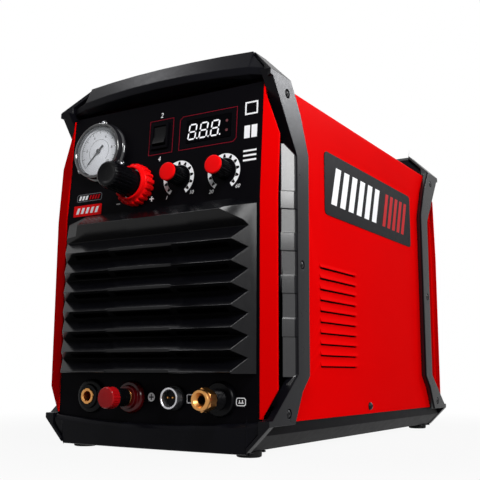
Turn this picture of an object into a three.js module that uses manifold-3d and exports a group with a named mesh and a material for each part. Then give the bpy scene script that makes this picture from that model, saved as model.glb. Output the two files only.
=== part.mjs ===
// An inverter plasma cutter: sheet-metal case, moulded end frames, front controls, rear fan and the main
// parts inside. Millimetres, +Z up. The front faces -Y, X is to the right seen from the front, and the
// origin lies on the ground under the middle of the feet.

import * as THREE from 'three';
import { mergeVertices } from 'three/addons/utils/BufferGeometryUtils.js';
import Module from 'manifold-3d';

const wasm = await Module();
wasm.setup();

// ---- driving dimensions -------------------------------------------------------------------------

const clearance = 0.3;            // between pieces that touch

const caseHalfWidth = 124;        // outer face of the sheet cover
const coverTop = 349.5;
const coverBottom = 30;
const coverSheet = 1.5;
const coverBend = 5;

const footHeight = 6;
const footRadius = 11.5;
const footInset = 27;             // from the cover's side face
const footSetback = 17.5;         // from the face of each end panel

const traySheet = 2;
const trayHeight = 40;
const trayChamfer = 14;

const faceDepth = 243.5;          // flat lower face of each end panel, from the middle of the case
const faceInset = 6;              // from the cover's side face to the panel's edge
const faceSheet = 2;
const faceBottom = 20;
const faceLean = THREE.MathUtils.degToRad(4);
const returnInset = 12;           // side walls behind each end panel, from its edge
const returnDepth = 46;

const frameProud = 7;             // how far the corner struts stand out from the cover
const frameOverhang = 3.5;        // and in front of the end panel
const shoulderBottom = 28;
const topSlopeRise = 28;          // the corners slope at 45 degrees: 28 mm at the top
const lowSlopeRise = 23;          // and 23 mm at the bottom
const slopePlate = 4.5;           // upright thickness of the plate under each sloped corner
const strutArm = 11;              // thickness of the strut's arms, across the case
const strutBlockDepth = 27;       // how far the locking blocks reach in from the outer face
const strutPostDepth = 16;
const strutBlocks = 4;
const blockHeight = 17.3;
const blockCant = 11;             // the post and its blocks slope back at 45 degrees over this width
const strutScrewHole = 4.4;
const lowestBlock = 115.6;
const chinDrop = 1.5;             // how far the chin reaches below the struts' feet

const trimWidth = 15.8;
const trimSheet = 2.5;
const trimRake = 4.2;
const trimProud = 1.2;
const rearTrimReach = 126;        // the rear pair ends inside the struts' outer faces

const grilleDrop = 115.5;           // from the cover's top to the grille's
const grilleBottom = 73;
const grilleDepth = 20.5;
const grooveFloor = 6.5;
const slatCount = 7;
const firstGroove = 28.5;         // below the grille's top
const slatDrop = 13;              // from each groove down to the ridge under it
const grilleWall = 3;
const grilleInset = 3;            // from the end panel's edge
const grilleTaperIn = 16.5;       // how much narrower each side is at the front

const louvreCount = 10;
const louvrePitch = 11;
const lowestLouvre = 81;
const louvreSetback = 109.5;      // from the front panel
const louvreLength = 92;
const louvreLift = 1.8;

const gaugeRadius = 30;
const gaugeDialRadius = 26.5;
const gaugeHeight = 11.5;
const gaugeDialLevel = 5;
const gaugePlace = [48 - caseHalfWidth, coverTop - 48];
const needleRest = THREE.MathUtils.degToRad(225);

const regulatorPlace = [gaugePlace[0] + 50, coverTop - 90];
const regulatorNeck = 15;
const regulatorRingRadius = 21.3;
const regulatorKnobRadius = 14;
const regulatorKnobEnd = 12.5;
const regulatorReach = 48;
const regulatorTeeth = 20;
const filterHalfWidth = 24;
const filterHalfHeight = 26;
const filterDepth = 62;
const knobBevel = 1.5;

const potPlaces = { postflow: [26.3, coverTop - 87.5], current: [caseHalfWidth - 45.4, coverTop - 87.5] };
const potKnobRadius = 9;
const potKnobReach = 22;
const potShaftRadius = 3;

const rockerPlace = [-1, coverTop - 41];
const rockerHalfLength = 9.2;
const rockerTilt = THREE.MathUtils.degToRad(9);
const rockerPivot = 2;            // depth of its axis behind the panel's face

const displayPlace = [caseHalfWidth - 67, coverTop - 42];
const displayWidth = 52;
const displayHeight = 24;

const socketHeight = 50.5;
const pilotX = 49.5 - caseHalfWidth;
const pilotRadius = 7.8;
const pilotBore = 4.8;
const terminalX = -24;
const terminalReach = 39;
const terminalCapRadius = 10;
const terminalStudRadius = 3.9;
const torchSwitchX = 28;
const torchSwitchRadius = 10;
const torchX = caseHalfWidth - 46;
const torchReach = 35;
const torchHexRadius = 10.8;
const torchShank = 7;
const torchBore = 4;

const fanHeight = 160;
const fanHalfSize = 60;
const fanDepth = 25;
const fanWall = 3;                // least wall between the fan's bore and its edge
const fanBlades = 7;
const fanHubRadius = 20;
const fanShaftRadius = 2.5;
const bladePitch = THREE.MathUtils.degToRad(60);
const guardRings = 4;
const guardWire = 2;

const rearGlandPlace = [38 - caseHalfWidth, 60];
const glandRadius = 14;
const glandBore = 6.5;
const airInletPlace = [caseHalfWidth - 38, 60];
const airInletBore = 4;
const powerSwitchPlace = [caseHalfWidth - 62, coverTop - 59.5];
const powerTilt = THREE.MathUtils.degToRad(8);
const powerPivot = 3;

const handleHeight = 70;
const handleLength = 236;
const handleWidth = 30;
const handleBar = 17;
const handlePost = 26;

const shelfHeight = 118;
const shelfSheet = 2;
const shelfInset = 12;            // from the cover's side face
const shelfFrontGap = 93.5;       // from the front panel
const shelfRearGap = 63.5;        // from the rear panel
const boardSheet = 1.6;
const sinkHeight = 60;
const sinkInset = 19;             // from the shelf's side face
const sinkFront = -60;
const sinkBack = 160;
const sinkFins = 15;
const sinkFin = 3;
const capacitorRadius = 15;
const capacitorHeight = 46;
const coreX = -49;                // middle of the transformer's core
const coreFront = 10;
const coreBack = 80;
const coreWidth = 82;
const coreHeight = 82;
const coreLimb = 18;
const coreWindow = 16;
const coreYoke = 16;
const coilOverhang = 16;
const valveY = -120;
const valveHalfWidth = 15;
const valveHalfLength = 22;
const valveHeight = 26;
const hoseRadius = 4;

// ---- values worked out from them ----------------------------------------------------------------

const footX = caseHalfWidth - footInset;
const footY = faceDepth - footSetback;
const trayBottom = footHeight;
const trayHalfWidth = caseHalfWidth - coverSheet - clearance;
const trayReach = faceDepth - faceSheet - clearance;
const faceHalfWidth = caseHalfWidth - faceInset;
const faceTop = coverTop - 4.5;
const returnX = faceHalfWidth - returnInset;
const frameHalfWidth = caseHalfWidth + frameProud;
const frameReach = faceDepth + frameOverhang;
const shoulderTop = coverTop + 2.5;
const frameTop = shoulderTop + topSlopeRise;
const frameBottom = shoulderBottom - lowSlopeRise;
const strutArmX = frameHalfWidth - strutArm;
const hoodHalfWidth = strutArmX - clearance;
const peakX = frameHalfWidth - topSlopeRise;
const chinEdge = frameHalfWidth - lowSlopeRise;
const highestBlock = coverTop - 113;
const blockPitch = (highestBlock - lowestBlock) / (strutBlocks - 1);
const grilleTop = coverTop - grilleDrop;
const leanStart = grilleTop - 2;  // above this height the end panels lean back
const topGroove = grilleTop - firstGroove;
const slatPitch = (topGroove - slatDrop - grilleBottom - 1) / (slatCount - 1);
const grilleHalfWidth = faceHalfWidth - grilleInset;
const grilleFrontHalfWidth = grilleHalfWidth - grilleTaperIn;
const regulatorTip = faceDepth - (regulatorPlace[1] - leanStart) * Math.tan(faceLean)
  + regulatorReach * Math.cos(faceLean) + (regulatorKnobEnd - knobBevel) * Math.sin(faceLean);
const airInletReach = regulatorTip - faceDepth;    // as far behind the case as the knob is in front
const shelfHalfWidth = caseHalfWidth - shelfInset;
const shelfFront = shelfFrontGap - faceDepth;
const shelfBack = faceDepth - shelfRearGap;
const sinkWidth = 2 * (shelfHalfWidth - sinkInset);
const fanBore = fanHalfSize - fanWall;

// A place along the case, counted back from the front of the struts.
function behind(distance) {
  return distance - frameReach;
}

// ---- building helpers ---------------------------------------------------------------------------

const finishes = {
  redPaint: [0xd40508, 0.32, 0.0],
  blackPaint: [0x101012, 0.45, 0.0],
  blackPlastic: [0x17171a, 0.5, 0.0],
  redPlastic: [0xc40a0c, 0.4, 0.0],
  smokedPlastic: [0x1a1a1c, 0.2, 0.0],
  brass: [0xc9963f, 0.28, 1.0],
  chrome: [0xcfd2d6, 0.15, 1.0],
  steel: [0x9ea2a6, 0.35, 1.0],
  aluminium: [0xb6babd, 0.4, 1.0],
  rubber: [0x1b1b1b, 0.85, 0.0],
  dialWhite: [0xe9ebe8, 0.5, 0.0],
  clearGlass: [0xe8f0f2, 0.05, 0.0],
  circuitGreen: [0x1f5a35, 0.5, 0.0],
  copper: [0xb06a3c, 0.4, 0.6],
};

function material(finish) {
  const [color, roughness, metalness] = finishes[finish];
  return new THREE.MeshStandardMaterial({ color, roughness, metalness });
}

function signedVolume(positions, triangles) {
  const a = new THREE.Vector3();
  const b = new THREE.Vector3();
  const c = new THREE.Vector3();
  let six = 0;
  for (let i = 0; i < triangles.length; i += 3) {
    a.fromArray(positions, 3 * triangles[i]);
    b.fromArray(positions, 3 * triangles[i + 1]);
    c.fromArray(positions, 3 * triangles[i + 2]);
    six += a.dot(b.cross(c));
  }
  return six;
}

// A closed geometry as a solid, with its shared corners merged and its faces turned outwards.
function solid(geometry) {
  const bare = geometry.clone();
  bare.deleteAttribute('normal');
  bare.deleteAttribute('uv');
  const merged = geometry.userData.closed ? bare : mergeVertices(bare, 1e-4);
  const positions = merged.getAttribute('position').array;
  const index = merged.getIndex().array;
  const triangles = [];
  for (let i = 0; i < index.length; i += 3) {
    const [a, b, c] = [index[i], index[i + 1], index[i + 2]];
    if (a !== b && b !== c && c !== a) triangles.push(a, b, c);
  }
  if (signedVolume(positions, triangles) < 0) triangles.reverse();
  return new wasm.Manifold(new wasm.Mesh({
    numProp: 3,
    vertProperties: Float32Array.from(positions),
    triVerts: Uint32Array.from(triangles),
  }));
}

function geometryOf(body) {
  const mesh = body.getMesh();
  const geometry = new THREE.BufferGeometry();
  geometry.setAttribute('position', new THREE.BufferAttribute(Float32Array.from(mesh.vertProperties), 3));
  geometry.setIndex(new THREE.BufferAttribute(Uint32Array.from(mesh.triVerts), 1));
  geometry.computeVertexNormals();
  geometry.userData.closed = true;
  return geometry;
}

function join(...geometries) {
  return geometryOf(geometries.map(solid).reduce((all, next) => all.add(next)));
}

function cut(geometry, ...tools) {
  return geometryOf(tools.map(solid).reduce((rest, tool) => rest.subtract(tool), solid(geometry)));
}

function common(first, second) {
  return geometryOf(solid(first).intersect(solid(second)));
}

function box(x0, x1, y0, y1, z0, z1) {
  const geometry = new THREE.BoxGeometry(x1 - x0, y1 - y0, z1 - z0);
  return geometry.translate((x0 + x1) / 2, (y0 + y1) / 2, (z0 + z1) / 2);
}

function outline(points) {
  return new THREE.Shape(points.map(([a, b]) => new THREE.Vector2(a, b)));
}

function extruded(points, depth) {
  return new THREE.ExtrudeGeometry(outline(points), { depth, bevelEnabled: false, curveSegments: 8 });
}

// A slab drawn in (y, z) and extruded along X.
function slabX(points, x0, x1) {
  const axes = new THREE.Matrix4().makeBasis(
    new THREE.Vector3(0, 1, 0), new THREE.Vector3(0, 0, 1), new THREE.Vector3(1, 0, 0));
  return extruded(points, x1 - x0).applyMatrix4(axes).translate(x0, 0, 0);
}

// A slab drawn in (x, z) and extruded along Y.
function slabY(points, y0, y1) {
  const axes = new THREE.Matrix4().makeBasis(
    new THREE.Vector3(1, 0, 0), new THREE.Vector3(0, 0, 1), new THREE.Vector3(0, -1, 0));
  return extruded(points, y1 - y0).applyMatrix4(axes).translate(0, y1, 0);
}

// A slab drawn in (x, y) and extruded along Z.
function slabZ(points, z0, z1) {
  return extruded(points, z1 - z0).translate(0, 0, z0);
}

// A body of revolution about Z, from [radius, height] pairs that start and end on the axis or close.
function turned(profile, segments = 16) {
  const points = profile.map(([r, z]) => new THREE.Vector2(r, z));
  return new THREE.LatheGeometry(points, segments).rotateX(Math.PI / 2);
}

function rod(radius, z0, z1, segments = 16) {
  return turned([[0, z0], [radius, z0], [radius, z1], [0, z1]], segments);
}

function ring(inner, outer, z0, z1, segments = 16) {
  return turned([[inner, z0], [outer, z0], [outer, z1], [inner, z1], [inner, z0]], segments);
}

// A closed skin through outlines with the same number of points; place() puts a point in space.
function loft(sections, place) {
  const count = sections[0].points.length;
  const positions = sections.flatMap((section) => section.points.flatMap(
    (point) => place(point, section.at).toArray()));
  const triangles = [];
  for (let s = 0; s + 1 < sections.length; s++) {
    for (let i = 0; i < count; i++) {
      const a = s * count + i;
      const b = s * count + (i + 1) % count;
      triangles.push(a, b, b + count, a, b + count, a + count);
    }
  }
  const last = (sections.length - 1) * count;
  const flat = (points) => points.map(([a, b]) => new THREE.Vector2(a, b));
  const cap = (points) => THREE.ShapeUtils.triangulateShape(flat(points), []);
  const turn = THREE.ShapeUtils.isClockWise(flat(sections[0].points));
  for (const [a, b, c] of cap(sections[0].points)) triangles.push(...(turn ? [a, b, c] : [c, b, a]));
  for (const [a, b, c] of cap(sections[sections.length - 1].points)) {
    triangles.push(...(turn ? [last + c, last + b, last + a] : [last + a, last + b, last + c]));
  }
  const geometry = new THREE.BufferGeometry();
  geometry.setAttribute('position', new THREE.Float32BufferAttribute(positions, 3));
  geometry.setIndex(triangles);
  return geometry;
}

const alongX = ([y, z], x) => new THREE.Vector3(x, y, z);
const alongZ = ([x, y], z) => new THREE.Vector3(x, y, z);
const alongY = ([x, z], y) => new THREE.Vector3(x, y, z);

function mirrored(geometry, x, y) {
  return geometry.clone().scale(x, y, 1);
}

function moved(geometry, x, y, z) {
  return geometry.clone().translate(x, y, z);
}

// How far forward the front panel's face lies at height z.
function faceY(z) {
  return -faceDepth + Math.max(0, z - leanStart) * Math.tan(faceLean);
}

// The frame of a control on the front face: local z points out of the panel, local y up along it.
function faceFrame([x, z]) {
  const lean = z > leanStart ? faceLean : 0;
  return new THREE.Matrix4().makeRotationX(Math.PI / 2 - lean).setPosition(x, faceY(z), z);
}

function onFace(place, geometry) {
  return geometry.clone().applyMatrix4(faceFrame(place));
}

const unit = new THREE.Group();
const rearEnd = new THREE.Group();
rearEnd.rotation.z = Math.PI;
unit.add(rearEnd);

function piece(name, geometry, finish, parent = unit) {
  const mesh = new THREE.Mesh(geometryOf(solid(geometry)), material(finish));
  mesh.name = name;
  parent.add(mesh);
  return mesh;
}

function faceGroup(place, parent = unit) {
  const group = new THREE.Group();
  group.applyMatrix4(faceFrame(place));
  parent.add(group);
  return group;
}

// ---- base tray and feet -------------------------------------------------------------------------

function trayProfile(inset, top) {
  const half = trayHalfWidth - inset;
  const low = trayBottom + inset;
  const chamfer = trayChamfer - inset * 0.4;
  return [[-half + chamfer, low], [half - chamfer, low], [half, low + chamfer], [half, top],
    [-half, top], [-half, low + chamfer]];
}

const traySkin = slabY(trayProfile(0, trayHeight), -trayReach, trayReach);
const trayInside = trayReach - traySheet;
const trayHollow = slabY(trayProfile(traySheet, trayHeight + 1), -trayInside, trayInside);
const trayEndNotch = (end) => mirrored(join(
  box(returnX + 1, trayHalfWidth + 1, -trayReach - 1, -trayReach + 5, shoulderBottom - 6, trayHeight + 1),
  box(-trayHalfWidth - 1, -returnX - 1, -trayReach - 1, -trayReach + 5, shoulderBottom - 6, trayHeight + 1),
), 1, end);
piece('base_tray', cut(traySkin, trayHollow, trayEndNotch(1), trayEndNotch(-1)), 'blackPaint');

const footShape = turned([[0, 1.8], [3, 1.8], [3, 0], [footRadius - 1.5, 0], [footRadius, 1.5],
  [footRadius, footHeight - clearance], [0, footHeight - clearance]], 16);
for (const [name, x, y] of [['foot_front_left', -1, -1], ['foot_front_right', 1, -1],
  ['foot_rear_left', -1, 1], ['foot_rear_right', 1, 1]]) {
  piece(name, footShape, 'rubber').position.set(x * footX, y * footY, 0);
}

// ---- sheet cover with pressed louvres -----------------------------------------------------------

// Side outline of the cover, which ends under the struts; grow makes room round it.
function coverOutline(grow) {
  const front = [[behind(35), coverBottom - grow], [behind(42) - grow, coverBottom + 15],
    [behind(63) - grow, coverBottom + 38], [behind(65) - grow, coverTop - 56],
    [behind(50) - grow, coverTop - 24], [behind(34) - grow, coverTop + grow]];
  const back = front.map(([y, z]) => [-y, z]).reverse();
  return [...front, ...back];
}

function coverSection(half, top, bend, bottom) {
  const points = [[half, bottom]];
  for (let step = 0; step <= 3; step++) {
    const angle = step * Math.PI / 6;
    points.push([half - bend + bend * Math.cos(angle), top - bend + bend * Math.sin(angle)]);
  }
  return [...points, ...points.map(([x, z]) => [-x, z]).reverse()];
}

const coverOuter = slabY(coverSection(caseHalfWidth, coverTop, coverBend, 0), behind(27), -behind(27));
const coverInner = slabY(coverSection(caseHalfWidth - coverSheet, coverTop - coverSheet,
  coverBend - coverSheet, -1), behind(26), -behind(26));

const louvreFront = louvreSetback - faceDepth;

// One louvre on the right side: a lifted lip over a slit in the sheet.
function louvreLip(z) {
  const out = caseHalfWidth;
  const inner = out - coverSheet;
  const lip = [[inner, z + 3], [out - 0.2, z + 5.5], [out + louvreLift, z + 1], [out + louvreLift, z - 0.2],
    [inner, z + 1.8]];
  return slabY(lip, louvreFront, louvreFront + louvreLength);
}

function louvreSlit(z) {
  const out = caseHalfWidth;
  return box(out - 4, out + 0.6, louvreFront + 2, louvreFront + louvreLength - 2, z - 1.6, z + 1.7);
}

const louvreLevels = Array.from({ length: louvreCount }, (_, i) => lowestLouvre + i * louvrePitch);
const slits = join(...louvreLevels.map(louvreSlit));
const lips = louvreLevels.map(louvreLip);
const coverShell = common(cut(coverOuter, coverInner),
  slabX(coverOutline(0), -frameHalfWidth, frameHalfWidth));
piece('outer_cover', join(cut(coverShell, slits, mirrored(slits, -1, 1)),
  ...lips, ...lips.map((lip) => mirrored(lip, -1, 1))), 'redPaint');

// ---- corner struts ------------------------------------------------------------------------------

const strutOutline = [[-frameReach, shoulderTop], [behind(41), shoulderTop], [behind(61), shoulderTop - 29],
  [behind(77.5), shoulderTop - 67], [behind(76.5), shoulderBottom + 43], [behind(61), shoulderBottom + 28],
  [behind(46), shoulderBottom], [behind(-3), shoulderBottom], [behind(52.5), shoulderBottom + 44.5],
  [behind(52.5), shoulderTop - 72]];
const strutMiddle = (shoulderTop + shoulderBottom) / 2;
const strutScrews = [[behind(33.4), shoulderTop - 15.3], [behind(62), strutMiddle - 14.6],
  [behind(34), shoulderBottom + 10]];

function strut() {
  const plate = slabX(strutOutline, strutArmX, frameHalfWidth);
  const topSlope = slabY([[frameHalfWidth, shoulderTop], [peakX, frameTop], [peakX, frameTop - slopePlate],
    [strutArmX, shoulderTop + strutArm - slopePlate], [strutArmX, shoulderTop - 6],
    [frameHalfWidth, shoulderTop - 6]], behind(-1), behind(41));
  const topPlan = slabZ([[frameHalfWidth + 1, -frameReach], [frameHalfWidth, -frameReach],
    [peakX, behind(19)], [peakX - 1, behind(41)], [frameHalfWidth + 1, behind(41)]],
  shoulderTop - 50, frameTop + 20);
  const footSlope = slabY([[frameHalfWidth, shoulderBottom], [chinEdge, frameBottom],
    [chinEdge, frameBottom + slopePlate], [strutArmX, shoulderBottom - strutArm + slopePlate],
    [strutArmX, shoulderBottom + 5], [frameHalfWidth, shoulderBottom + 5]],
  behind(-3), -trayReach - clearance);
  const [postX, blockX, outerX] = [strutPostDepth, strutBlockDepth, 1].map((d) => frameHalfWidth - d);
  const [postLow, postHigh] = [shoulderBottom + 42, shoulderTop - 60];
  const postBack = behind(63) - 2 * clearance;
  const canted = (innerX, noseX, front, low, high) => slabZ([[innerX, postBack], [outerX, postBack],
    [outerX, front], [outerX - blockCant, front - blockCant], [noseX, front - blockCant], [noseX, front],
    [innerX, front]], low, high);
  const post = canted(postX, postX + 1, behind(52.5), postLow, postHigh);
  const web = box(blockX, outerX, postBack - 3, postBack, postLow, postHigh);
  const blocks = Array.from({ length: strutBlocks }, (_, i) => {
    const middle = lowestBlock + i * blockPitch;
    return canted(blockX, returnX + faceSheet + 2 * clearance, behind(52.5) - 1.2,
      middle - blockHeight / 2, middle + blockHeight / 2);
  });
  const coverRoom = slabX(coverOutline(clearance), 0, caseHalfWidth + clearance);
  const trayRoom = box(0, caseHalfWidth + clearance, -trayReach - clearance, 0, 0, trayHeight + 5);
  const screwHoles = strutScrews.map(([y, z]) => moved(
    rod(strutScrewHole, 0, 6, 12).rotateY(Math.PI / 2), frameHalfWidth - 2.5, y, z));
  return cut(join(plate, common(topSlope, topPlan), footSlope, post, web, ...blocks),
    coverRoom, trayRoom, ...screwHoles);
}

const rightStrut = strut();
for (const [name, x, y] of [['front_strut_right', 1, 1], ['front_strut_left', -1, 1],
  ['rear_strut_right', 1, -1], ['rear_strut_left', -1, -1]]) {
  piece(name, mirrored(rightStrut, x, y), 'blackPlastic');
}

// ---- hoods and chins ----------------------------------------------------------------------------

function bow(x, atMiddle, atEnd) {
  return atMiddle + (atEnd - atMiddle) * (x / hoodHalfWidth) ** 2;
}

// Stations across the frame: inside the struts' sloped corner plates, and under them.
function stations(edge) {
  const right = [[0, false], [35, false], [70, false], [edge - clearance, false], [edge, true],
    [hoodHalfWidth, true]];
  return [...right.slice(1).map(([x, under]) => [-x, under]).reverse(), ...right];
}

// The hood's section at x: rear foot, rear top, ridge, lip top, lip bottom, underside.
function hoodSection(x, underPlate) {
  const drop = Math.abs(x) - peakX + slopePlate + clearance;
  const top = underPlate ? frameTop - drop : frameTop;
  const lipTop = Math.min(bow(x, frameTop - 17, frameTop - 20), top - 1);
  const ridge = bow(x, behind(9), behind(20));
  const lip = bow(x, -frameReach, behind(10.5));
  const foot = coverTop + clearance;
  return [[behind(49), foot], [behind(42), Math.min(frameTop - 6, top - 4)], [behind(33), top],
    [ridge, top], [lip, lipTop], [lip + 0.5, lipTop - 7], [behind(14), foot]];
}

function hood() {
  return loft(stations(peakX).map(([x, under]) => ({ at: x, points: hoodSection(x, under) })), alongX);
}

// The chin's section at x: a front wall and a lip that turns under the tray.
function chinSection(x, abovePlate) {
  const rise = Math.abs(x) - chinEdge + slopePlate + clearance;
  const bottom = abovePlate ? frameBottom + rise : frameBottom - chinDrop;
  const wallBack = -faceDepth - clearance;
  const crest = bow(x, frameBottom + 21, frameBottom + 27);
  const wall = (proud) => bow(x, behind(-proud), behind(3.5 - proud));
  return [[wallBack, bottom], [wallBack, crest], [wall(3), crest], [wall(5.5), crest - 4],
    [wall(4), bottom]];
}

function chin() {
  const wall = loft(stations(chinEdge).map(([x, above]) => ({ at: x, points: chinSection(x, above) })),
    alongX);
  const lip = box(-chinEdge + 1, chinEdge - 1, -faceDepth - 2, behind(35), frameBottom - chinDrop,
    trayBottom - clearance);
  const footRoom = [-footX, footX].map((x) => moved(rod(footRadius + 1, 0, 12, 12), x, -footY, 0));
  return cut(join(wall, lip), ...footRoom);
}

const hoodBody = hood();
const chinBody = chin();
for (const [end, side] of [['front', 1], ['rear', -1]]) {
  piece(`${end}_hood`, mirrored(hoodBody, 1, side), 'blackPlastic');
  piece(`${end}_chin`, mirrored(chinBody, 1, side), 'blackPlastic');
}

// ---- red corner trims ---------------------------------------------------------------------------

function trimSection(z) {
  const y = faceY(z);
  const inner = faceHalfWidth + clearance;
  const outer = inner + trimWidth;
  const back = y + faceSheet + clearance;
  const face = y - trimProud;
  return [[inner, face], [outer, face + trimRake], [outer, face + trimRake + trimSheet],
    [inner + 1.3, face + trimSheet], [inner + 1.3, back + trimSheet], [inner - 10, back + trimSheet],
    [inner - 10, back], [inner, back]];
}

function trim() {
  const levels = [faceBottom, leanStart, faceTop + 5];
  const strip = loft(levels.map((z) => ({ at: z, points: trimSection(z) })), alongZ);
  const inner = faceHalfWidth - 10;
  const outer = faceHalfWidth + trimWidth + 1.2;
  const low = shoulderBottom + 6;
  const frontView = slabY([[inner, low], [faceHalfWidth + 2, low], [outer, low + 27],
    [outer, faceTop - 56], [faceHalfWidth + 1.9, faceTop - 12], [faceHalfWidth + 1.6, faceTop - 2],
    [inner, faceTop - 2]], -faceDepth - 20, -faceDepth + 25);
  return common(strip, frontView);
}

const trimBody = trim();
const rearTrimBody = common(trimBody, box(0, rearTrimReach, -faceDepth - 20, -faceDepth + 25, 0, coverTop));
for (const [name, body, x, y] of [['front_trim_right', trimBody, 1, 1],
  ['front_trim_left', trimBody, -1, 1], ['rear_trim_right', rearTrimBody, 1, -1],
  ['rear_trim_left', rearTrimBody, -1, -1]]) {
  piece(name, mirrored(body, x, y), 'redPaint');
}

// ---- end panels ---------------------------------------------------------------------------------

function panel(holes) {
  const returnTop = faceTop - 10;
  const front = [[faceY(faceBottom), faceBottom], [faceY(leanStart), leanStart], [faceY(faceTop), faceTop]];
  const back = front.map(([y, z]) => [y + faceSheet, z]).reverse();
  const plate = slabX([...front, ...back], -faceHalfWidth, faceHalfWidth);
  const wall = slabX([[faceY(0) + 1, trayHeight + 2], [-faceDepth + returnDepth, trayHeight + 2],
    [-faceDepth + returnDepth, returnTop], [faceY(returnTop) + 1, returnTop],
    [faceY(leanStart) + 1, leanStart]],
  returnX, returnX + faceSheet);
  return cut(join(plate, wall, mirrored(wall, -1, 1)), ...holes);
}

const frontHoles = [
  onFace(gaugePlace, rod(gaugeDialRadius + 1, -20, 20)),
  onFace(regulatorPlace, rod(regulatorNeck + clearance, -20, 20)),
  onFace(rockerPlace, box(-9, 9, -12, 12, -20, 20)),
  onFace(displayPlace, box(-displayWidth / 2, displayWidth / 2, -displayHeight / 2, displayHeight / 2,
    -20, 20)),
  onFace(potPlaces.postflow, rod(potShaftRadius + 1, -20, 20)),
  onFace(potPlaces.current, rod(potShaftRadius + 1, -20, 20)),
  onFace([pilotX, socketHeight], rod(pilotRadius + 2, -20, 20, 14)),
  onFace([terminalX, socketHeight], rod(terminalStudRadius + 3, -20, 20, 14)),
  onFace([torchSwitchX, socketHeight], rod(torchSwitchRadius - 2, -20, 20, 14)),
  onFace([torchX, socketHeight], rod(torchShank + 4, -20, 20, 14)),
  box(-grilleFrontHalfWidth + 8.5, grilleFrontHalfWidth - 8.5, -faceDepth - 10, -faceDepth + 10,
    grilleBottom + 20, topGroove),
];
piece('front_panel', panel(frontHoles), 'blackPaint');

const rearHoles = [
  onFace([0, fanHeight], rod(fanBore, -20, 20, 24)),
  onFace(rearGlandPlace, rod(glandRadius - 3, -20, 20, 14)),
  onFace(airInletPlace, rod(8, -20, 20, 14)),
  onFace(powerSwitchPlace, box(-14, 14, -11, 11, -20, 20)),
];
piece('rear_panel', panel(rearHoles), 'blackPaint', rearEnd);

// ---- front grille -------------------------------------------------------------------------------

const grilleBack = -faceDepth - clearance;

function slatProfile(shift) {
  const ridge = -faceDepth - grilleDepth + shift;
  const groove = -faceDepth - grooveFloor + shift;
  const points = [[grilleBack + 10, grilleTop], [grilleBack + shift, grilleTop],
    [ridge, grilleTop - slatDrop]];
  for (let i = 0; i < slatCount; i++) {
    const z = topGroove - i * slatPitch;
    points.push([groove, z], [ridge, Math.max(z - slatDrop, grilleBottom + 1.5)]);
  }
  return [...points, [ridge + 2, grilleBottom], [grilleBack + 10, grilleBottom]];
}

function grilleTaper(inset) {
  const base = (half, top) => [[-half, grilleBottom + inset], [half, grilleBottom + inset], [half, top - 7],
    [half - 25, top], [-half + 25, top], [-half, top - 7]];
  const nose = grilleFrontHalfWidth - inset;
  const front = [[-nose, grilleBottom + inset], [nose, grilleBottom + inset], [nose, topGroove - slatDrop],
    [nose - 14.5, grilleTop - slatDrop + 1 - inset], [-nose + 14.5, grilleTop - slatDrop + 1 - inset],
    [-nose, topGroove - slatDrop]];
  return loft([
    { at: grilleBack + 5 * Math.sign(inset), points: base(grilleHalfWidth - inset, grilleTop - inset) },
    { at: -faceDepth - grilleDepth - 1, points: front },
  ], alongY);
}

function grille() {
  const skin = common(slabX(slatProfile(0), -grilleHalfWidth, grilleHalfWidth), grilleTaper(0));
  const hollow = common(slabX(slatProfile(grilleWall), -grilleHalfWidth, grilleHalfWidth),
    grilleTaper(grilleWall));
  const ridgeCut = box(-43, 33, -faceDepth - grilleDepth - 5, -faceDepth - grilleDepth + 1.8,
    grilleBottom - 5, topGroove - 6);
  const slots = [];
  const slotEnd = grilleFrontHalfWidth - 6.5;
  for (let i = 1; i < slatCount; i++) {
    const z = topGroove - i * slatPitch;
    for (const [x0, x1] of [[-slotEnd, -47], [-39, 29], [37, slotEnd]]) {
      slots.push(box(x0, x1, -faceDepth - grilleDepth + 4, -faceDepth - 2, z + 1.4, z + 4.6));
    }
  }
  return cut(skin, hollow, ridgeCut, ...slots);
}
piece('front_grille', grille(), 'blackPlastic');

// ---- pressure gauge -----------------------------------------------------------------------------

const gaugeSpot = faceGroup(gaugePlace);
const gaugeCup = gaugeDialRadius + clearance;
const gaugeBody = turned([[0, -24], [gaugeDialRadius, -24], [gaugeDialRadius, clearance],
  [gaugeRadius + 1.5, clearance], [gaugeRadius + 1.5, 2.5], [gaugeRadius, 4], [gaugeRadius, gaugeHeight - 1],
  [gaugeRadius - 1, gaugeHeight], [gaugeCup + 0.6, gaugeHeight], [gaugeCup, gaugeHeight - 1],
  [gaugeCup, gaugeDialLevel], [0, gaugeDialLevel]], 24);
const gaugeLugs = [90, 210, 330].map((degrees) => moved(rod(4, clearance, 2.5, 10), gaugeRadius + 2, 0, 0)
  .rotateZ(THREE.MathUtils.degToRad(degrees)));
piece('gauge_case', join(gaugeBody, ...gaugeLugs), 'smokedPlastic', gaugeSpot);
const dialFace = gaugeDialLevel + 1.1;
piece('gauge_dial', rod(gaugeDialRadius, gaugeDialLevel + clearance, dialFace, 24), 'dialWhite', gaugeSpot);
const needleLevel = dialFace + clearance;
const needle = join(
  rod(2.4, needleLevel, needleLevel + 1.8),
  slabZ([[-8, -1.4], [-8, 1.4], [19.5, 0.3], [19.5, -0.3]], needleLevel + 0.5, needleLevel + 1.1),
);
piece('gauge_needle', needle, 'blackPaint', gaugeSpot).rotation.z = needleRest;
piece('gauge_lens', rod(gaugeDialRadius, gaugeHeight - 2.5, gaugeHeight - 1, 24), 'clearGlass', gaugeSpot);

// ---- regulator ----------------------------------------------------------------------------------

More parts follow.
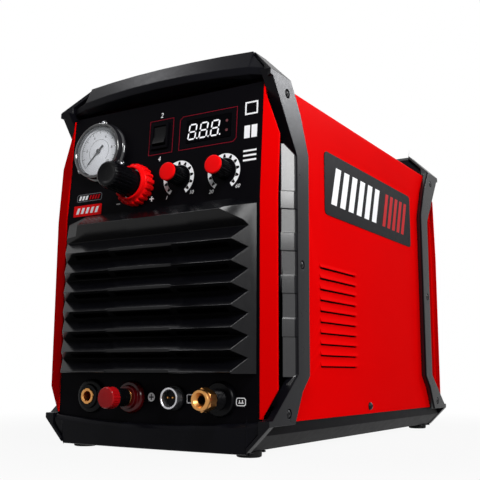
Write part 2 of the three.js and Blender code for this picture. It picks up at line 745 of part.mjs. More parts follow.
const regulatorSpot = faceGroup(regulatorPlace);
const neckTop = 8;
const regulatorBody = join(
  box(-filterHalfWidth, filterHalfWidth, -filterHalfHeight, filterHalfHeight, -filterDepth,
    -faceSheet - clearance),
  rod(regulatorNeck, -faceSheet - 1, neckTop),
);
piece('filter_regulator', regulatorBody, 'aluminium', regulatorSpot);

function toothedRing(inner, root, teeth, depth, z0, z1) {
  const points = [];
  for (let i = 0; i < teeth; i++) {
    for (const [offset, radius] of [[0, root], [0.22, root + depth], [0.58, root + depth], [0.8, root]]) {
      const angle = (i + offset) * 2 * Math.PI / teeth;
      points.push([radius * Math.cos(angle), radius * Math.sin(angle)]);
    }
  }
  return cut(slabZ(points, z0, z1), rod(inner, z0 - 1, z1 + 1));
}
const ringTop = 10;
const collarTop = 15;
const ringBore = regulatorNeck + clearance;
const lockRing = join(
  toothedRing(ringBore, regulatorRingRadius - 2, regulatorTeeth, 2, clearance, ringTop),
  turned([[ringBore, ringTop - 1], [18, ringTop - 1], [17.6, collarTop - 0.8], [16.8, collarTop],
    [ringBore, collarTop], [ringBore, ringTop - 1]]),
);
piece('regulator_ring', lockRing, 'redPlastic', regulatorSpot);

const spindleTop = regulatorReach - 10;
piece('regulator_spindle', rod(4, neckTop + clearance, spindleTop), 'steel', regulatorSpot);
const knobBody = cut(
  turned([[0, neckTop + 0.6], [regulatorKnobRadius - 0.6, neckTop + 0.6],
    [regulatorKnobRadius, neckTop + 1.4], [regulatorKnobRadius, 22],
    [regulatorKnobEnd + 1, regulatorReach - 5], [regulatorKnobEnd, regulatorReach - knobBevel],
    [regulatorKnobEnd - knobBevel, regulatorReach], [0, regulatorReach]]),
  rod(4 + clearance, 0, spindleTop + clearance),
);
piece('regulator_knob', knobBody, 'blackPlastic', regulatorSpot);

// ---- mode switch, display and control board -----------------------------------------------------

const modeSpot = faceGroup(rockerPlace);
const modeHousing = cut(
  join(box(-10.5, 10.5, -13.5, 13.5, clearance, 2.2), box(-8.7, 8.7, -11.7, 11.7, -17, 1)),
  box(-7.8, 7.8, -10.5, 10.5, -6.5, 5),
);
piece('mode_switch_housing', modeHousing, 'blackPlastic', modeSpot);
const paddle = slabX([[-rockerHalfLength, -2.6], [rockerHalfLength, -2.6], [rockerHalfLength, 2.6], [0, 1],
  [-rockerHalfLength, 2.6]], -7.4, 7.4);
const paddlePivot = box(-7.4, 7.4, -1.5, 1.5, -4.5, -2);
const paddlePiece = moved(join(paddle, paddlePivot), 0, 0, rockerPivot).rotateX(-rockerTilt)
  .translate(0, 0, -rockerPivot);
piece('mode_switch_rocker', paddlePiece, 'blackPlastic', modeSpot);

const displaySpot = faceGroup(displayPlace);
const displayBody = join(
  box(-displayWidth / 2 + clearance, displayWidth / 2 - clearance, -displayHeight / 2 + clearance,
    displayHeight / 2 - clearance, -4, 0.2),
  box(-displayWidth / 2 - 4, displayWidth / 2 + 4, -displayHeight / 2 - 3, displayHeight / 2 + 3,
    -14, -faceSheet - clearance),
);
piece('display_module', displayBody, 'blackPlastic', displaySpot);

const boardDepth = -22;
const boardSpot = faceGroup(potPlaces.postflow);
const potGap = potPlaces.current[0] - potPlaces.postflow[0];
const boardLeft = regulatorPlace[0] + filterHalfWidth + 3.3 - potPlaces.postflow[0];
const potBody = cut(box(-8, 8, -9, 9, boardDepth - 1, -faceSheet - clearance),
  rod(potShaftRadius + clearance, -15, 0));
const controlBoard = join(
  box(boardLeft, potGap + 18, -22, 68, boardDepth - boardSheet, boardDepth),
  potBody,
  moved(potBody, potGap, 0, 0),
);
piece('control_board', controlBoard, 'circuitGreen', boardSpot);

// ---- potentiometer knobs ------------------------------------------------------------------------

function fluted(radius, z0, z1, flutes) {
  const points = [];
  for (let i = 0; i < 4 * flutes; i++) {
    const angle = i * Math.PI / (2 * flutes);
    const r = i % 4 === 0 ? radius - 0.7 : radius;
    points.push([r * Math.cos(angle), r * Math.sin(angle)]);
  }
  return slabZ(points, z0, z1);
}

for (const name of ['postflow', 'current']) {
  const spot = faceGroup(potPlaces[name]);
  const knob = join(fluted(potKnobRadius, 0.8, potKnobReach - 2.8, 12), rod(potShaftRadius, -13, 2));
  piece(`${name}_knob`, knob, 'blackPlastic', spot);
  const cap = turned([[0, potKnobReach - 2.5], [potKnobRadius, potKnobReach - 2.5],
    [potKnobRadius, potKnobReach - 0.7], [potKnobRadius - 1.2, potKnobReach], [0, potKnobReach]]);
  piece(`${name}_knob_cap`, cap, 'redPlastic', spot);
}

// ---- front sockets and terminals ----------------------------------------------------------------

const pilotSpot = faceGroup([pilotX, socketHeight]);
const pilotHousing = turned([[pilotRadius + clearance, -12], [pilotRadius + 1.7, -12],
  [pilotRadius + 1.7, clearance], [16.5, clearance], [16.5, 2.5], [15, 3.8], [12, 4.2], [11.3, 7],
  [pilotRadius + clearance, 7], [pilotRadius + clearance, -12]]);
piece('pilot_socket', pilotHousing, 'blackPlastic', pilotSpot);
const pilotContact = turned([[0, -18], [pilotRadius, -18], [pilotRadius, 7.6], [pilotRadius - 0.8, 8.4],
  [pilotBore + 0.8, 8.4], [pilotBore, 7.6], [pilotBore, -10], [0, -10]]);
piece('pilot_socket_contact', pilotContact, 'brass', pilotSpot);

const terminalSpot = faceGroup([terminalX, socketHeight]);
const terminalSeat = 9.4;
const washerTop = terminalSeat + 2;
const terminalBase = turned([[terminalStudRadius + clearance, -6], [terminalStudRadius + 2.5, -6],
  [terminalStudRadius + 2.5, clearance], [15.5, clearance], [15.5, 3.5], [14, 5], [11.5, 5.5],
  [10.5, terminalSeat], [terminalStudRadius + clearance, terminalSeat],
  [terminalStudRadius + clearance, -6]]);
piece('work_terminal_base', terminalBase, 'redPlastic', terminalSpot);
const studTop = terminalReach - 7;
piece('work_terminal_stud', join(rod(terminalStudRadius, -16, studTop), rod(7, -11, -6 - clearance, 6)),
  'brass', terminalSpot);
const washer = ring(terminalStudRadius + clearance, 8, terminalSeat + clearance, washerTop, 14);
piece('work_terminal_washer', washer, 'brass', terminalSpot);
const terminalCap = cut(
  turned([[0, washerTop + clearance], [terminalCapRadius - 1.5, washerTop + clearance],
    [terminalCapRadius - 1.5, terminalReach - 13], [terminalCapRadius, terminalReach - 12],
    [terminalCapRadius, terminalReach - 1.5], [terminalCapRadius - 1.5, terminalReach], [0, terminalReach]]),
  rod(terminalStudRadius + clearance, 0, studTop + clearance),
);
piece('work_terminal_cap', terminalCap, 'redPlastic', terminalSpot);

const switchSpot = faceGroup([torchSwitchX, socketHeight]);
const switchSocket = join(
  turned([[0, -10], [torchSwitchRadius - 2.5, -10], [torchSwitchRadius - 2.5, clearance], [11.5, clearance],
    [11.5, 2.6], [torchSwitchRadius, 3.4], [torchSwitchRadius, 11.4], [torchSwitchRadius - 0.6, 12],
    [torchSwitchRadius - 1.6, 12], [torchSwitchRadius - 2.2, 11], [torchSwitchRadius - 2.2, 4], [0, 4]]),
  moved(rod(0.9, 3, 9.5, 8), -2.8, 0.6, 0),
  moved(rod(0.9, 3, 9.5, 8), 2.8, 0.6, 0),
);
piece('torch_switch_socket', switchSocket, 'chrome', switchSpot);

const torchSpot = faceGroup([torchX, socketHeight]);
piece('torch_flange', turned([[torchShank + clearance, -5], [torchShank + 3, -5], [torchShank + 3, clearance],
  [16, clearance], [16, 4], [14.5, 5.5], [torchShank + clearance, 5.5], [torchShank + clearance, -5]]),
'blackPlastic', torchSpot);
const torchNut = [21, 32];
const torchBody = cut(
  join(
    rod(torchHexRadius, torchNut[0], torchNut[1], 6),
    turned([[0, 5.5 + clearance], [9.5, 5.5 + clearance], [9.5, torchReach - 2], [8.8, torchReach],
      [0, torchReach]]),
    rod(torchShank, -16, torchNut[0], 14),
  ),
  turned([[0, torchReach - 22], [torchBore, torchReach - 22], [torchBore, torchReach - 2.5],
    [torchBore + 2.5, torchReach + 0.1], [0, torchReach + 0.1]]),
);
piece('torch_fitting', torchBody, 'brass', torchSpot);

// ---- rear fan, guard and connections ------------------------------------------------------------

const fanSpot = faceGroup([0, fanHeight], rearEnd);
const fanBack = -faceSheet - clearance;
const fanArms = [45, 135, 225, 315].map((degrees) => box(fanHubRadius - 3, fanBore + 2, -2, 2,
  fanBack - fanDepth, fanBack - fanDepth + 2.5).rotateZ(THREE.MathUtils.degToRad(degrees)));
const fanFrame = join(
  cut(box(-fanHalfSize, fanHalfSize, -fanHalfSize, fanHalfSize, fanBack - fanDepth, fanBack),
    rod(fanBore, fanBack - fanDepth - 1, fanBack + 1, 24)),
  rod(fanHubRadius, fanBack - fanDepth, fanBack - fanDepth + 2.5, 24),
  rod(fanShaftRadius, fanBack - fanDepth, fanBack - 8, 12),
  ...fanArms,
);
piece('fan_frame', fanFrame, 'blackPlastic', fanSpot);
const blade = box(fanHubRadius - 3, fanBore - 4, -1, 1, -7, 7).rotateX(bladePitch)
  .translate(0, 0, fanBack - fanDepth / 2 + 1);
const bladeStep = 2 * Math.PI / fanBlades;
const blades = Array.from({ length: fanBlades }, (_, i) => blade.clone().rotateZ(i * bladeStep));
const rotorLow = fanBack - fanDepth + 3 + clearance;
const fanRotor = cut(join(rod(fanHubRadius, rotorLow, fanBack - 3), ...blades),
  rod(fanShaftRadius + clearance, rotorLow - 1, fanBack - 8 + clearance, 12));
piece('fan_rotor', fanRotor, 'blackPlastic', fanSpot);

function fanGuard() {
  const spacing = (fanBore - fanHubRadius + 6) / (guardRings - 1);
  const rings = Array.from({ length: guardRings }, (_, i) => {
    const r = fanHubRadius - 6 + i * spacing;
    return ring(r, r + guardWire, 4, 4 + guardWire);
  });
  const spokes = [45, 135, 225, 315].map((degrees) => join(
    box(fanHubRadius - 6, fanHalfSize + 12, -1, 1, 2.5, 4.6),
    box(fanHalfSize + 10, fanHalfSize + 18, -4, 4, clearance, 4.6),
  ).rotateZ(THREE.MathUtils.degToRad(degrees)));
  return join(...rings, ...spokes);
}
piece('fan_guard', fanGuard(), 'steel', fanSpot);

const powerSpot = faceGroup(powerSwitchPlace, rearEnd);
const powerHousing = cut(
  join(box(-17, 17, -14, 14, clearance, 3), box(-13.7, 13.7, -10.7, 10.7, -24, 1)),
  box(-12.4, 12.4, -9.4, 9.4, -8, 5),
);
piece('power_switch_housing', powerHousing, 'blackPlastic', powerSpot);
const powerRocker = join(
  slabY([[-11, -3], [11, -3], [11, 3.4], [0, 1.4], [-11, 3.4]], -8.9, 8.9),
  box(-2, 2, -8.9, 8.9, -5, -2),
).translate(0, 0, powerPivot).rotateY(powerTilt).translate(0, 0, -powerPivot);
piece('power_switch_rocker', powerRocker, 'redPlastic', powerSpot);

const glandSpot = faceGroup(rearGlandPlace, rearEnd);
const gland = cut(
  join(rod(glandRadius - 3.5, -12, 1, 14), rod(glandRadius + 3, clearance, 7, 6),
    turned([[0, 6], [glandRadius, 6], [glandRadius, 16], [glandRadius - 4, 26], [0, 26]], 18)),
  rod(glandBore, -13, 27),
);
piece('cable_gland', gland, 'blackPlastic', glandSpot);

const airSpot = faceGroup(airInletPlace, rearEnd);
const barbs = [];
for (let z = 22; z + 7 < airInletReach; z += 7) {
  barbs.push([6.2, z], [7.4, z + 1], [6.2, z + 6.9]);
}
const airInlet = cut(
  join(
    rod(7, -20, 2),
    rod(12, clearance, 9, 6),
    turned([[0, 8], [9, 8], [9, 18], [6.2, 18.5], ...barbs, [6.2, airInletReach - 1],
      [5.6, airInletReach], [0, airInletReach]]),
  ),
  rod(airInletBore, -21, airInletReach + 1, 12),
);
piece('air_inlet', airInlet, 'brass', airSpot);

// ---- carry handle -------------------------------------------------------------------------------

const handleFoot = coverTop + clearance;
const handleTop = handleFoot + handleHeight;
const handleEnd = handleLength / 2;
const handleOutline = [[-handleEnd, handleFoot], [-handleEnd + 10, handleTop - 12],
  [-handleEnd + 26, handleTop], [handleEnd - 26, handleTop], [handleEnd - 10, handleTop - 12],
  [handleEnd, handleFoot]];
const gapEnd = handleEnd - handlePost - 4;
const gripGap = [[-gapEnd, handleFoot - 1], [-gapEnd + 8, handleTop - handleBar],
  [gapEnd - 8, handleTop - handleBar], [gapEnd, handleFoot - 1]];
const handleEdge = 5;
const handlePlan = (z) => slabY([[-handleWidth / 2, 300], [handleWidth / 2, 300],
  [handleWidth / 2, z - handleEdge], [handleWidth / 2 - handleEdge, z], [-handleWidth / 2 + handleEdge, z],
  [-handleWidth / 2, z - handleEdge]], -handleLength, handleLength);
piece('carry_handle', cut(
  common(slabX(handleOutline, -handleWidth / 2, handleWidth / 2), handlePlan(handleTop)),
  slabX(gripGap, -handleWidth, handleWidth),
), 'blackPlastic');

// ---- inside: shelf, heat sinks, boards, transformer, valve and hose -----------------------------

const floorTop = trayBottom + traySheet + clearance;
const shelf = cut(
  box(-shelfHalfWidth, shelfHalfWidth, shelfFront, shelfBack, floorTop, shelfHeight),
  box(-shelfHalfWidth + shelfSheet, shelfHalfWidth - shelfSheet, shelfFront - 1, shelfBack + 1, 0,
    shelfHeight - shelfSheet),
  box(-shelfHalfWidth - 1, shelfHalfWidth + 1, shelfFront - 1, shelfBack + 1, 0,
    trayBottom + trayChamfer + 2),
);
const shelfFeet = [1, -1].map((side) => mirrored(join(
  box(shelfHalfWidth - 9, shelfHalfWidth, shelfFront, shelfBack, trayBottom + trayChamfer,
    trayBottom + trayChamfer + 4),
  box(shelfHalfWidth - 9, shelfHalfWidth - 7, shelfFront, shelfBack, floorTop,
    trayBottom + trayChamfer + 4),
), side, 1));
piece('inner_shelf', join(shelf, ...shelfFeet), 'steel');

function heatSink() {
  const base = box(-sinkWidth / 2, sinkWidth / 2, sinkFront, sinkBack, 0, 6);
  const step = (sinkWidth - sinkFin) / (sinkFins - 1);
  const fins = Array.from({ length: sinkFins }, (_, i) => box(-sinkWidth / 2 + i * step,
    -sinkWidth / 2 + i * step + sinkFin, sinkFront, sinkBack, 5, sinkHeight));
  return join(base, ...fins);
}
piece('heat_sink', heatSink(), 'aluminium').position.z = shelfHeight + clearance;

const boardLevel = shelfHeight + sinkHeight + 2 * clearance;
const capacitors = [[-60, 110], [-22, 110], [22, 110], [60, 110]].map(([x, y]) => moved(
  rod(capacitorRadius, 0, capacitorHeight), x, y, boardLevel + boardSheet - 0.2));
const modules = [[-52, 0], [52, 0]].map(([x, y]) => box(x - 24, x + 24, y - 30, y + 30,
  boardLevel + boardSheet - 0.2, boardLevel + 16));
piece('power_board', join(
  box(-sinkWidth / 2, sinkWidth / 2, sinkFront, sinkBack, boardLevel, boardLevel + boardSheet),
  ...capacitors, ...modules), 'circuitGreen');

const coreLeft = coreX - coreWidth / 2;
const coreRight = coreX + coreWidth / 2;
const windowLow = floorTop + coreYoke;
const windowHigh = floorTop + coreHeight - coreYoke;
const transformer = join(
  cut(box(coreLeft, coreRight, coreFront, coreBack, floorTop, floorTop + coreHeight),
    ...[coreLeft + coreLimb, coreRight - coreLimb - coreWindow].map((x) => box(x, x + coreWindow,
      coreFront - 10, coreBack + 10, windowLow, windowHigh))),
  box(coreLeft + coreLimb - 2, coreRight - coreLimb + 2, coreFront - coilOverhang,
    coreBack + coilOverhang, windowLow + 0.5, windowHigh - 0.5),
);
piece('main_transformer', transformer, 'copper');

const valve = join(
  box(torchX - valveHalfWidth, torchX + valveHalfWidth, valveY - valveHalfLength,
    valveY + valveHalfLength, floorTop, floorTop + valveHeight),
  rod(11, 0, 34).translate(torchX, valveY, floorTop + valveHeight - 1),
);
piece('solenoid_valve', valve, 'brass');

const valveFace = valveY - valveHalfLength - clearance;
const valvePort = floorTop + valveHeight / 2;
const fittingEnd = -faceDepth + 16 + clearance;
const hosePath = new THREE.CatmullRomCurve3([
  new THREE.Vector3(torchX, fittingEnd, socketHeight),
  new THREE.Vector3(torchX, fittingEnd + 14, socketHeight),
  new THREE.Vector3(torchX, (fittingEnd + valveFace) / 2, (socketHeight + valvePort) / 2),
  new THREE.Vector3(torchX, valveFace - 14, valvePort),
  new THREE.Vector3(torchX, valveFace, valvePort),
]);
const hoseSection = new THREE.Shape().absarc(0, 0, hoseRadius, 0, 2 * Math.PI);
const hose = new THREE.ExtrudeGeometry(hoseSection, { steps: 10, curveSegments: 4, extrudePath: hosePath });
piece('air_hose', hose, 'rubber');

export default unit;
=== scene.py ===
# %% [markdown]
# This notebook dresses a portable plasma cutter: a sheet-metal case held between two moulded
# frames, with a pressure gauge, an air regulator, two knobs and a row of sockets on its front.
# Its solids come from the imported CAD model, and they stay where they are. Lengths of pieces are
# in millimetres, as on a drawing, and are turned into Blender's metres where they are used. The
# camera, the lamps and the floor are placed in metres.

import math
from contextlib import contextmanager

import bmesh
import bpy
from mathutils import Matrix, Vector


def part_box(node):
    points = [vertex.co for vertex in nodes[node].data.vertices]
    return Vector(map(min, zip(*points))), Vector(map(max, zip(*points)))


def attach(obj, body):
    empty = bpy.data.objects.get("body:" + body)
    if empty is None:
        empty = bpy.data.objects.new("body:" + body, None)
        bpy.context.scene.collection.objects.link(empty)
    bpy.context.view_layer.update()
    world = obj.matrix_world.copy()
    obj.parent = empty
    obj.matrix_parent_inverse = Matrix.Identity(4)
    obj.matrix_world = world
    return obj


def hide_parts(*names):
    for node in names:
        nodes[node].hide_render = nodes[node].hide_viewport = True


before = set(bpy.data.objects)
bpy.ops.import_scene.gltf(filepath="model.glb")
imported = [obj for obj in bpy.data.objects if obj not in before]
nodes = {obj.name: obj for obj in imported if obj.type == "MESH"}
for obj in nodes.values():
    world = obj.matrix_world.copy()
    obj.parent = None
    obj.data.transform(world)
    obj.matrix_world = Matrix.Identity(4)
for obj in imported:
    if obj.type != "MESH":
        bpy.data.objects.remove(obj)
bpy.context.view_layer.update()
MM = 0.001
SIDES = (("right", 1), ("left", -1))
CASE_SIDE = 124.0     # from the middle to the cover's flat sides

# %% [markdown]
# Modelling by hand always starts the same way: nothing else is selected, one object is active,
# and edit mode is entered and left again. A context manager does both halves, so that no cell
# can forget the second one. Faces are then picked by where they are, as a hand would pick them.

# %% Select, enter edit mode and pick
def select_nothing():
    for other in bpy.context.selected_objects:
        other.select_set(False)


def take(obj):
    select_nothing()
    obj.select_set(True)
    bpy.context.view_layer.objects.active = obj


@contextmanager
def editing(obj, mode="VERT"):
    take(obj)
    bpy.ops.object.mode_set(mode="EDIT")
    bpy.ops.mesh.select_mode(type=mode)
    bpy.ops.mesh.select_all(action="SELECT")
    yield
    bpy.ops.object.mode_set(mode="OBJECT")


def pick(obj, test, kind="faces"):
    bpy.ops.mesh.select_all(action="DESELECT")
    mesh = bmesh.from_edit_mesh(obj.data)
    for item in getattr(mesh, kind):
        if test(item):
            item.select_set(True)
    mesh.select_flush_mode()
    bmesh.update_edit_mesh(obj.data)


def extrude_up(height):
    bpy.ops.mesh.extrude_region_move(TRANSFORM_OT_translate={"value": (0, 0, height * MM)})


def resize_flat(x, y):
    bpy.ops.transform.resize(value=(x, y, 1), center_override=(0, 0, 0))


def face_outwards():
    bpy.ops.mesh.select_all(action="SELECT")
    bpy.ops.mesh.normals_make_consistent(inside=False)


def added(primitive, **sizes):
    select_nothing()
    getattr(bpy.ops.mesh, f"primitive_{primitive}_add")(**sizes)
    return bpy.context.object


# %% [markdown]
# A finished piece keeps its place in its mesh and its object stays at the origin, because the
# joints and the export both expect that. Smooth shading by angle keeps real corners crisp. Dress
# also says which body carries the piece and which CAD solid it stands for, and fitted does both.

# %% Settle, join, copy and dress a piece
def at(x, y, z):
    return Matrix.Translation((x * MM, y * MM, z * MM))


def settle(piece, name, place=Matrix(), smooth=35):
    bpy.context.view_layer.update()
    piece.data.transform(place @ piece.matrix_world)
    piece.matrix_world = Matrix()
    piece.name = piece.data.name = name
    take(piece)
    bpy.ops.object.shade_smooth_by_angle(angle=math.radians(smooth))
    return piece


def joined(name, *pieces):
    for piece in pieces[1:]:
        piece.data.materials.clear()
    take(pieces[0])
    for piece in pieces[1:]:
        piece.select_set(True)
    bpy.ops.object.join()
    return settle(bpy.context.object, name)


def copied(piece, name, place=Matrix()):
    twin = piece.copy()
    twin.data = piece.data.copy()
    bpy.context.scene.collection.objects.link(twin)
    return settle(twin, name, place)


def use(piece, kind, **settings):
    take(piece)
    modifier = piece.modifiers.new(kind.title(), kind)
    for key, value in settings.items():
        setattr(modifier, key, value)
    bpy.ops.object.modifier_apply(modifier=modifier.name)
    return piece


def dress(piece, finish, body="case", stands_for=()):
    piece.data.materials.clear()
    piece.data.materials.append(finish)
    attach(piece, body)
    if stands_for:
        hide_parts(*stands_for)
    print(f"{piece.name}: {len(piece.data.polygons)} faces on {body}")
    return piece


def fitted(piece, name, place, finish, body="case", stands_for=()):
    return dress(settle(piece, name, place), finish, body, stands_for)


# %% [markdown]
# A finish is a small network of nodes. Shader maths is easier to read as plain arithmetic, so
# Tone wraps one output and turns +, -, * and > into Math nodes. Finish holds the material and
# one method for every other kind of node, with its settings first and its sockets after them.

# %% Arithmetic on sockets
class Tone:
    def __init__(self, finish, socket):
        self.finish = finish
        self.socket = socket

    def maths(self, operation, first, second):
        return self.finish.node("ShaderNodeMath", {"operation": operation}, {0: first, 1: second})

    def __add__(self, other):
        return self.maths("ADD", self, other)

    def __rsub__(self, other):
        return self.maths("SUBTRACT", other, self)

    def __mul__(self, other):
        return self.maths("MULTIPLY", self, other)

    def __gt__(self, other):
        return self.maths("GREATER_THAN", self, other)

    __radd__ = __add__
    __rmul__ = __mul__


# %% One material and its nodes
class Finish:
    def __init__(self, name, **fixed):
        self.material = bpy.data.materials.new(name)
        self.material.use_nodes = True
        self.tree = self.material.node_tree
        self.shader = self.tree.nodes["Principled BSDF"]
        self.place = self.node("ShaderNodeTexCoord", output="Object")
        for key, value in fixed.items():
            self.shader.inputs[key.replace("_", " ")].default_value = value

    def node(self, kind, settings=(), sockets=(), output=0):
        made = self.tree.nodes.new(kind)
        for key, value in dict(settings).items():
            setattr(made, key, value)
        for key, value in dict(sockets).items():
            self.plug(made.inputs[key], value)
        return Tone(self, made.outputs[output])

    def plug(self, socket, value):
        if isinstance(value, Tone):
            self.tree.links.new(value.socket, socket)
        else:
            socket.default_value = value

    def feed(self, **sockets):
        for key, value in sockets.items():
            self.plug(self.shader.inputs[key.replace("_", " ")], value)
        return self

    def noise(self, size, detail=3.0, stretch=(1, 1, 1)):
        scaled = [1 / (size * MM) * s for s in stretch]
        where = self.node("ShaderNodeMapping", (), {"Vector": self.place, "Scale": scaled})
        sockets = {"Vector": where, "Scale": 1.0, "Detail": detail}
        return self.node("ShaderNodeTexNoise", (), sockets)

    def blend(self, mask, first, second):
        sockets = {0: mask, 6: first, 7: second}
        return self.node("ShaderNodeMix", {"data_type": "RGBA"}, sockets, 2)

    def bump(self, height, depth):
        sockets = {"Height": height, "Distance": depth * MM, "Strength": 1.0}
        return self.node("ShaderNodeBump", (), sockets, "Normal")


# %% [markdown]
# Every hard surface here has three scales: slow clouds in its colour, where hands and dust have
# been, a middle one in its gloss, and a fine skin that only shows in highlights. One function
# mixes all three, and each finish of the machine is one line of measured numbers.

# %% The common recipe for paint, plastic and metal
def shade(colour, factor):
    return tuple(min(1.0, channel * factor) for channel in colour[:3]) + (1.0,)


def surface(name, colour, rough, grain, vary=0.12, stretch=(1, 1, 1), clouds=45.0, **fixed):
    finish = Finish(name, **fixed)
    low, high = rough
    size, depth = grain
    slow = finish.noise(clouds)
    middle = finish.noise(7.0, stretch=stretch)
    fine = finish.noise(size, 2.0, stretch)
    tint = finish.blend(slow, shade(colour, 1 - vary), shade(colour, 1 + vary))
    finish.feed(
        Base_Color=tint,
        Roughness=low + (high - low) * middle,
        Normal=finish.bump(fine, depth),
    )
    return finish.material


# %% Coats, mouldings and metals of this machine
red_coat = surface(
    "satin_red_powder_coat", (0.68, 0.0006, 0.0010), (0.32, 0.46), (1.3, 0.02), 0.05, clouds=90.0,
    Specular_IOR_Level=0.0015,
)
dark_coat = surface(
    "satin_black_powder_coat", (0.0016, 0.0014, 0.0022), (0.34, 0.48), (0.8, 0.02), 0.2,
    Specular_IOR_Level=0.02,
)
frame_moulding = surface(
    "grained_black_frame_moulding", (0.0026, 0.0026, 0.0040), (0.28, 0.40), (0.7, 0.05), 0.18,
    Specular_IOR_Level=0.05,
)
grille_moulding = surface(
    "grained_black_grille_moulding", (0.0020, 0.0020, 0.0028), (0.16, 0.26), (0.7, 0.02), 0.18,
    Specular_IOR_Level=0.17,
)
black_moulding = surface(
    "satin_black_moulding", (0.0018, 0.0018, 0.0024), (0.22, 0.34), (0.5, 0.02), 0.15,
    Specular_IOR_Level=0.07,
)
red_moulding = surface(
    "gloss_red_moulding", (0.80, 0.003, 0.004), (0.24, 0.38), (0.6, 0.015), 0.06,
    Specular_IOR_Level=0.06,
)
dark_red_moulding = surface(
    "translucent_dark_red_moulding", (0.32, 0.003, 0.005), (0.14, 0.26), (0.6, 0.015), 0.1,
    Specular_IOR_Level=0.12,
)
deep_red_moulding = surface(
    "deep_red_moulding", (0.06, 0.001, 0.002), (0.12, 0.24), (0.6, 0.015), 0.12,
    Specular_IOR_Level=0.2,
)
turned_brass = surface(
    "turned_brass", (0.50, 0.24, 0.075), (0.20, 0.36), (0.35, 0.02), 0.12, (0.2, 0.2, 1), 20.0,
    Metallic=1.0,
)
bright_chrome = surface(
    "bright_plating", (0.46, 0.46, 0.48), (0.24, 0.42), (0.4, 0.012), 0.10, Metallic=1.0,
)
zinc_steel = surface(
    "zinc_plated_steel", (0.42, 0.43, 0.46), (0.26, 0.42), (0.5, 0.02), 0.12, Metallic=1.0,
)
dark_steel = surface(
    "blackened_steel", (0.003, 0.003, 0.004), (0.22, 0.36), (0.4, 0.02), 0.15,
    Specular_IOR_Level=0.15,
)
mill_aluminium = surface(
    "mill_finished_aluminium", (0.60, 0.61, 0.63), (0.3, 0.45), (0.6, 0.02), 0.08, (0.1, 1, 1),
    Metallic=1.0,
)
foot_rubber = surface(
    "matte_rubber", (0.006, 0.006, 0.006), (0.7, 0.88), (0.6, 0.06), 0.2, Specular_IOR_Level=0.15,
)
smoked_clear = surface(
    "smoked_gloss_moulding", (0.010, 0.010, 0.012), (0.06, 0.16), (1.0, 0.01), 0.2,
    Specular_IOR_Level=0.55, Coat_Weight=0.3,
)
dial_paint = surface(
    "silver_dial_paint", (0.90, 0.91, 0.96), (0.4, 0.55), (0.5, 0.01), 0.05,
    Specular_IOR_Level=0.3,
)
print_white = surface("white_screen_ink", (0.86, 0.86, 0.88), (0.4, 0.55), (0.4, 0.01), 0.05)
print_grey = surface(
    "grey_screen_ink", (0.20, 0.20, 0.22), (0.4, 0.55), (0.4, 0.01), 0.1, Specular_IOR_Level=0.1,
)
print_red = surface(
    "red_screen_ink", (0.42, 0.003, 0.006), (0.4, 0.55), (0.4, 0.01), 0.08,
    Specular_IOR_Level=0.05,
)
print_dark_red = surface(
    "dark_red_screen_ink", (0.20, 0.004, 0.014), (0.4, 0.55), (0.4, 0.01), 0.1,
    Specular_IOR_Level=0.05,
)
print_black = surface(
    "black_screen_ink", (0.0025, 0.0025, 0.0035), (0.35, 0.5), (0.4, 0.01), 0.1,
    Specular_IOR_Level=0.03,
)
window_tint = surface(
    "tinted_window", (0.0010, 0.0010, 0.0016), (0.10, 0.2), (1.0, 0.008), 0.1,
    Specular_IOR_Level=0.01,
)
# Black foam for the mats of painted shade behind the grille and the louvres.
painted_shade_foam = surface(
    "foam_of_painted_shade", (0.0020, 0.0020, 0.0022), (0.8, 0.95), (1.2, 0.6), 0.3,
    Specular_IOR_Level=0.02,
)
varnished_iron = surface(
    "varnished_laminations", (0.16, 0.09, 0.05), (0.3, 0.5), (0.5, 0.05), 0.2, (1, 8, 1),
)
print("finishes:", len(bpy.data.materials))

# %% [markdown]
# Four finishes need more than clouds. The struts are grained outside and polished in the recess
# with the ribs, which a mask on their own coordinates tells apart. The circuit boards are green
# mask with paler tracks in square cells, and the gauge's lens lets the dial through and only
# shines.
# The display's segments are switched off, and the little glow they are given is painted light.

# %% Circuit board, lens, struts and the segments' painted glow
RECESS_SIDE = 128.5   # the recess ends this far out from the middle
RECESS_END = 206.5    # and this far to the front and the rear


def board_mask():
    finish = Finish("green_solder_mask", Specular_IOR_Level=0.5)
    cells = finish.node(
        "ShaderNodeTexVoronoi", {"distance": "MANHATTAN"}, {"Vector": finish.place, "Scale": 160.0}
    )
    tracks = finish.blend(cells > 0.42, (0.012, 0.09, 0.035, 1), (0.03, 0.16, 0.07, 1))
    finish.feed(Base_Color=tracks, Roughness=0.3 + 0.2 * finish.noise(6.0))
    return finish.feed(Normal=finish.bump(cells, 0.05)).material


def clear_lens():
    finish = Finish("clear_lens", Specular_IOR_Level=0.8, IOR=1.5)
    haze = finish.noise(14.0)
    finish.feed(Base_Color=finish.blend(haze, (0.75, 0.8, 0.84, 1), (0.86, 0.9, 0.92, 1)))
    finish.feed(Alpha=0.06 + 0.06 * haze, Roughness=0.02 + 0.05 * haze)
    return finish.material


# The emission here is painted light: the display is switched off, and the glow only brightens its
# marks.
def painted_glow(name, colour, glow):
    finish = Finish(name, Roughness=0.35, Emission_Strength=glow)
    lamp = finish.blend(finish.noise(3.0), shade(colour, 0.86), shade(colour, 1.0))
    return finish.feed(Base_Color=lamp, Emission_Color=lamp).material


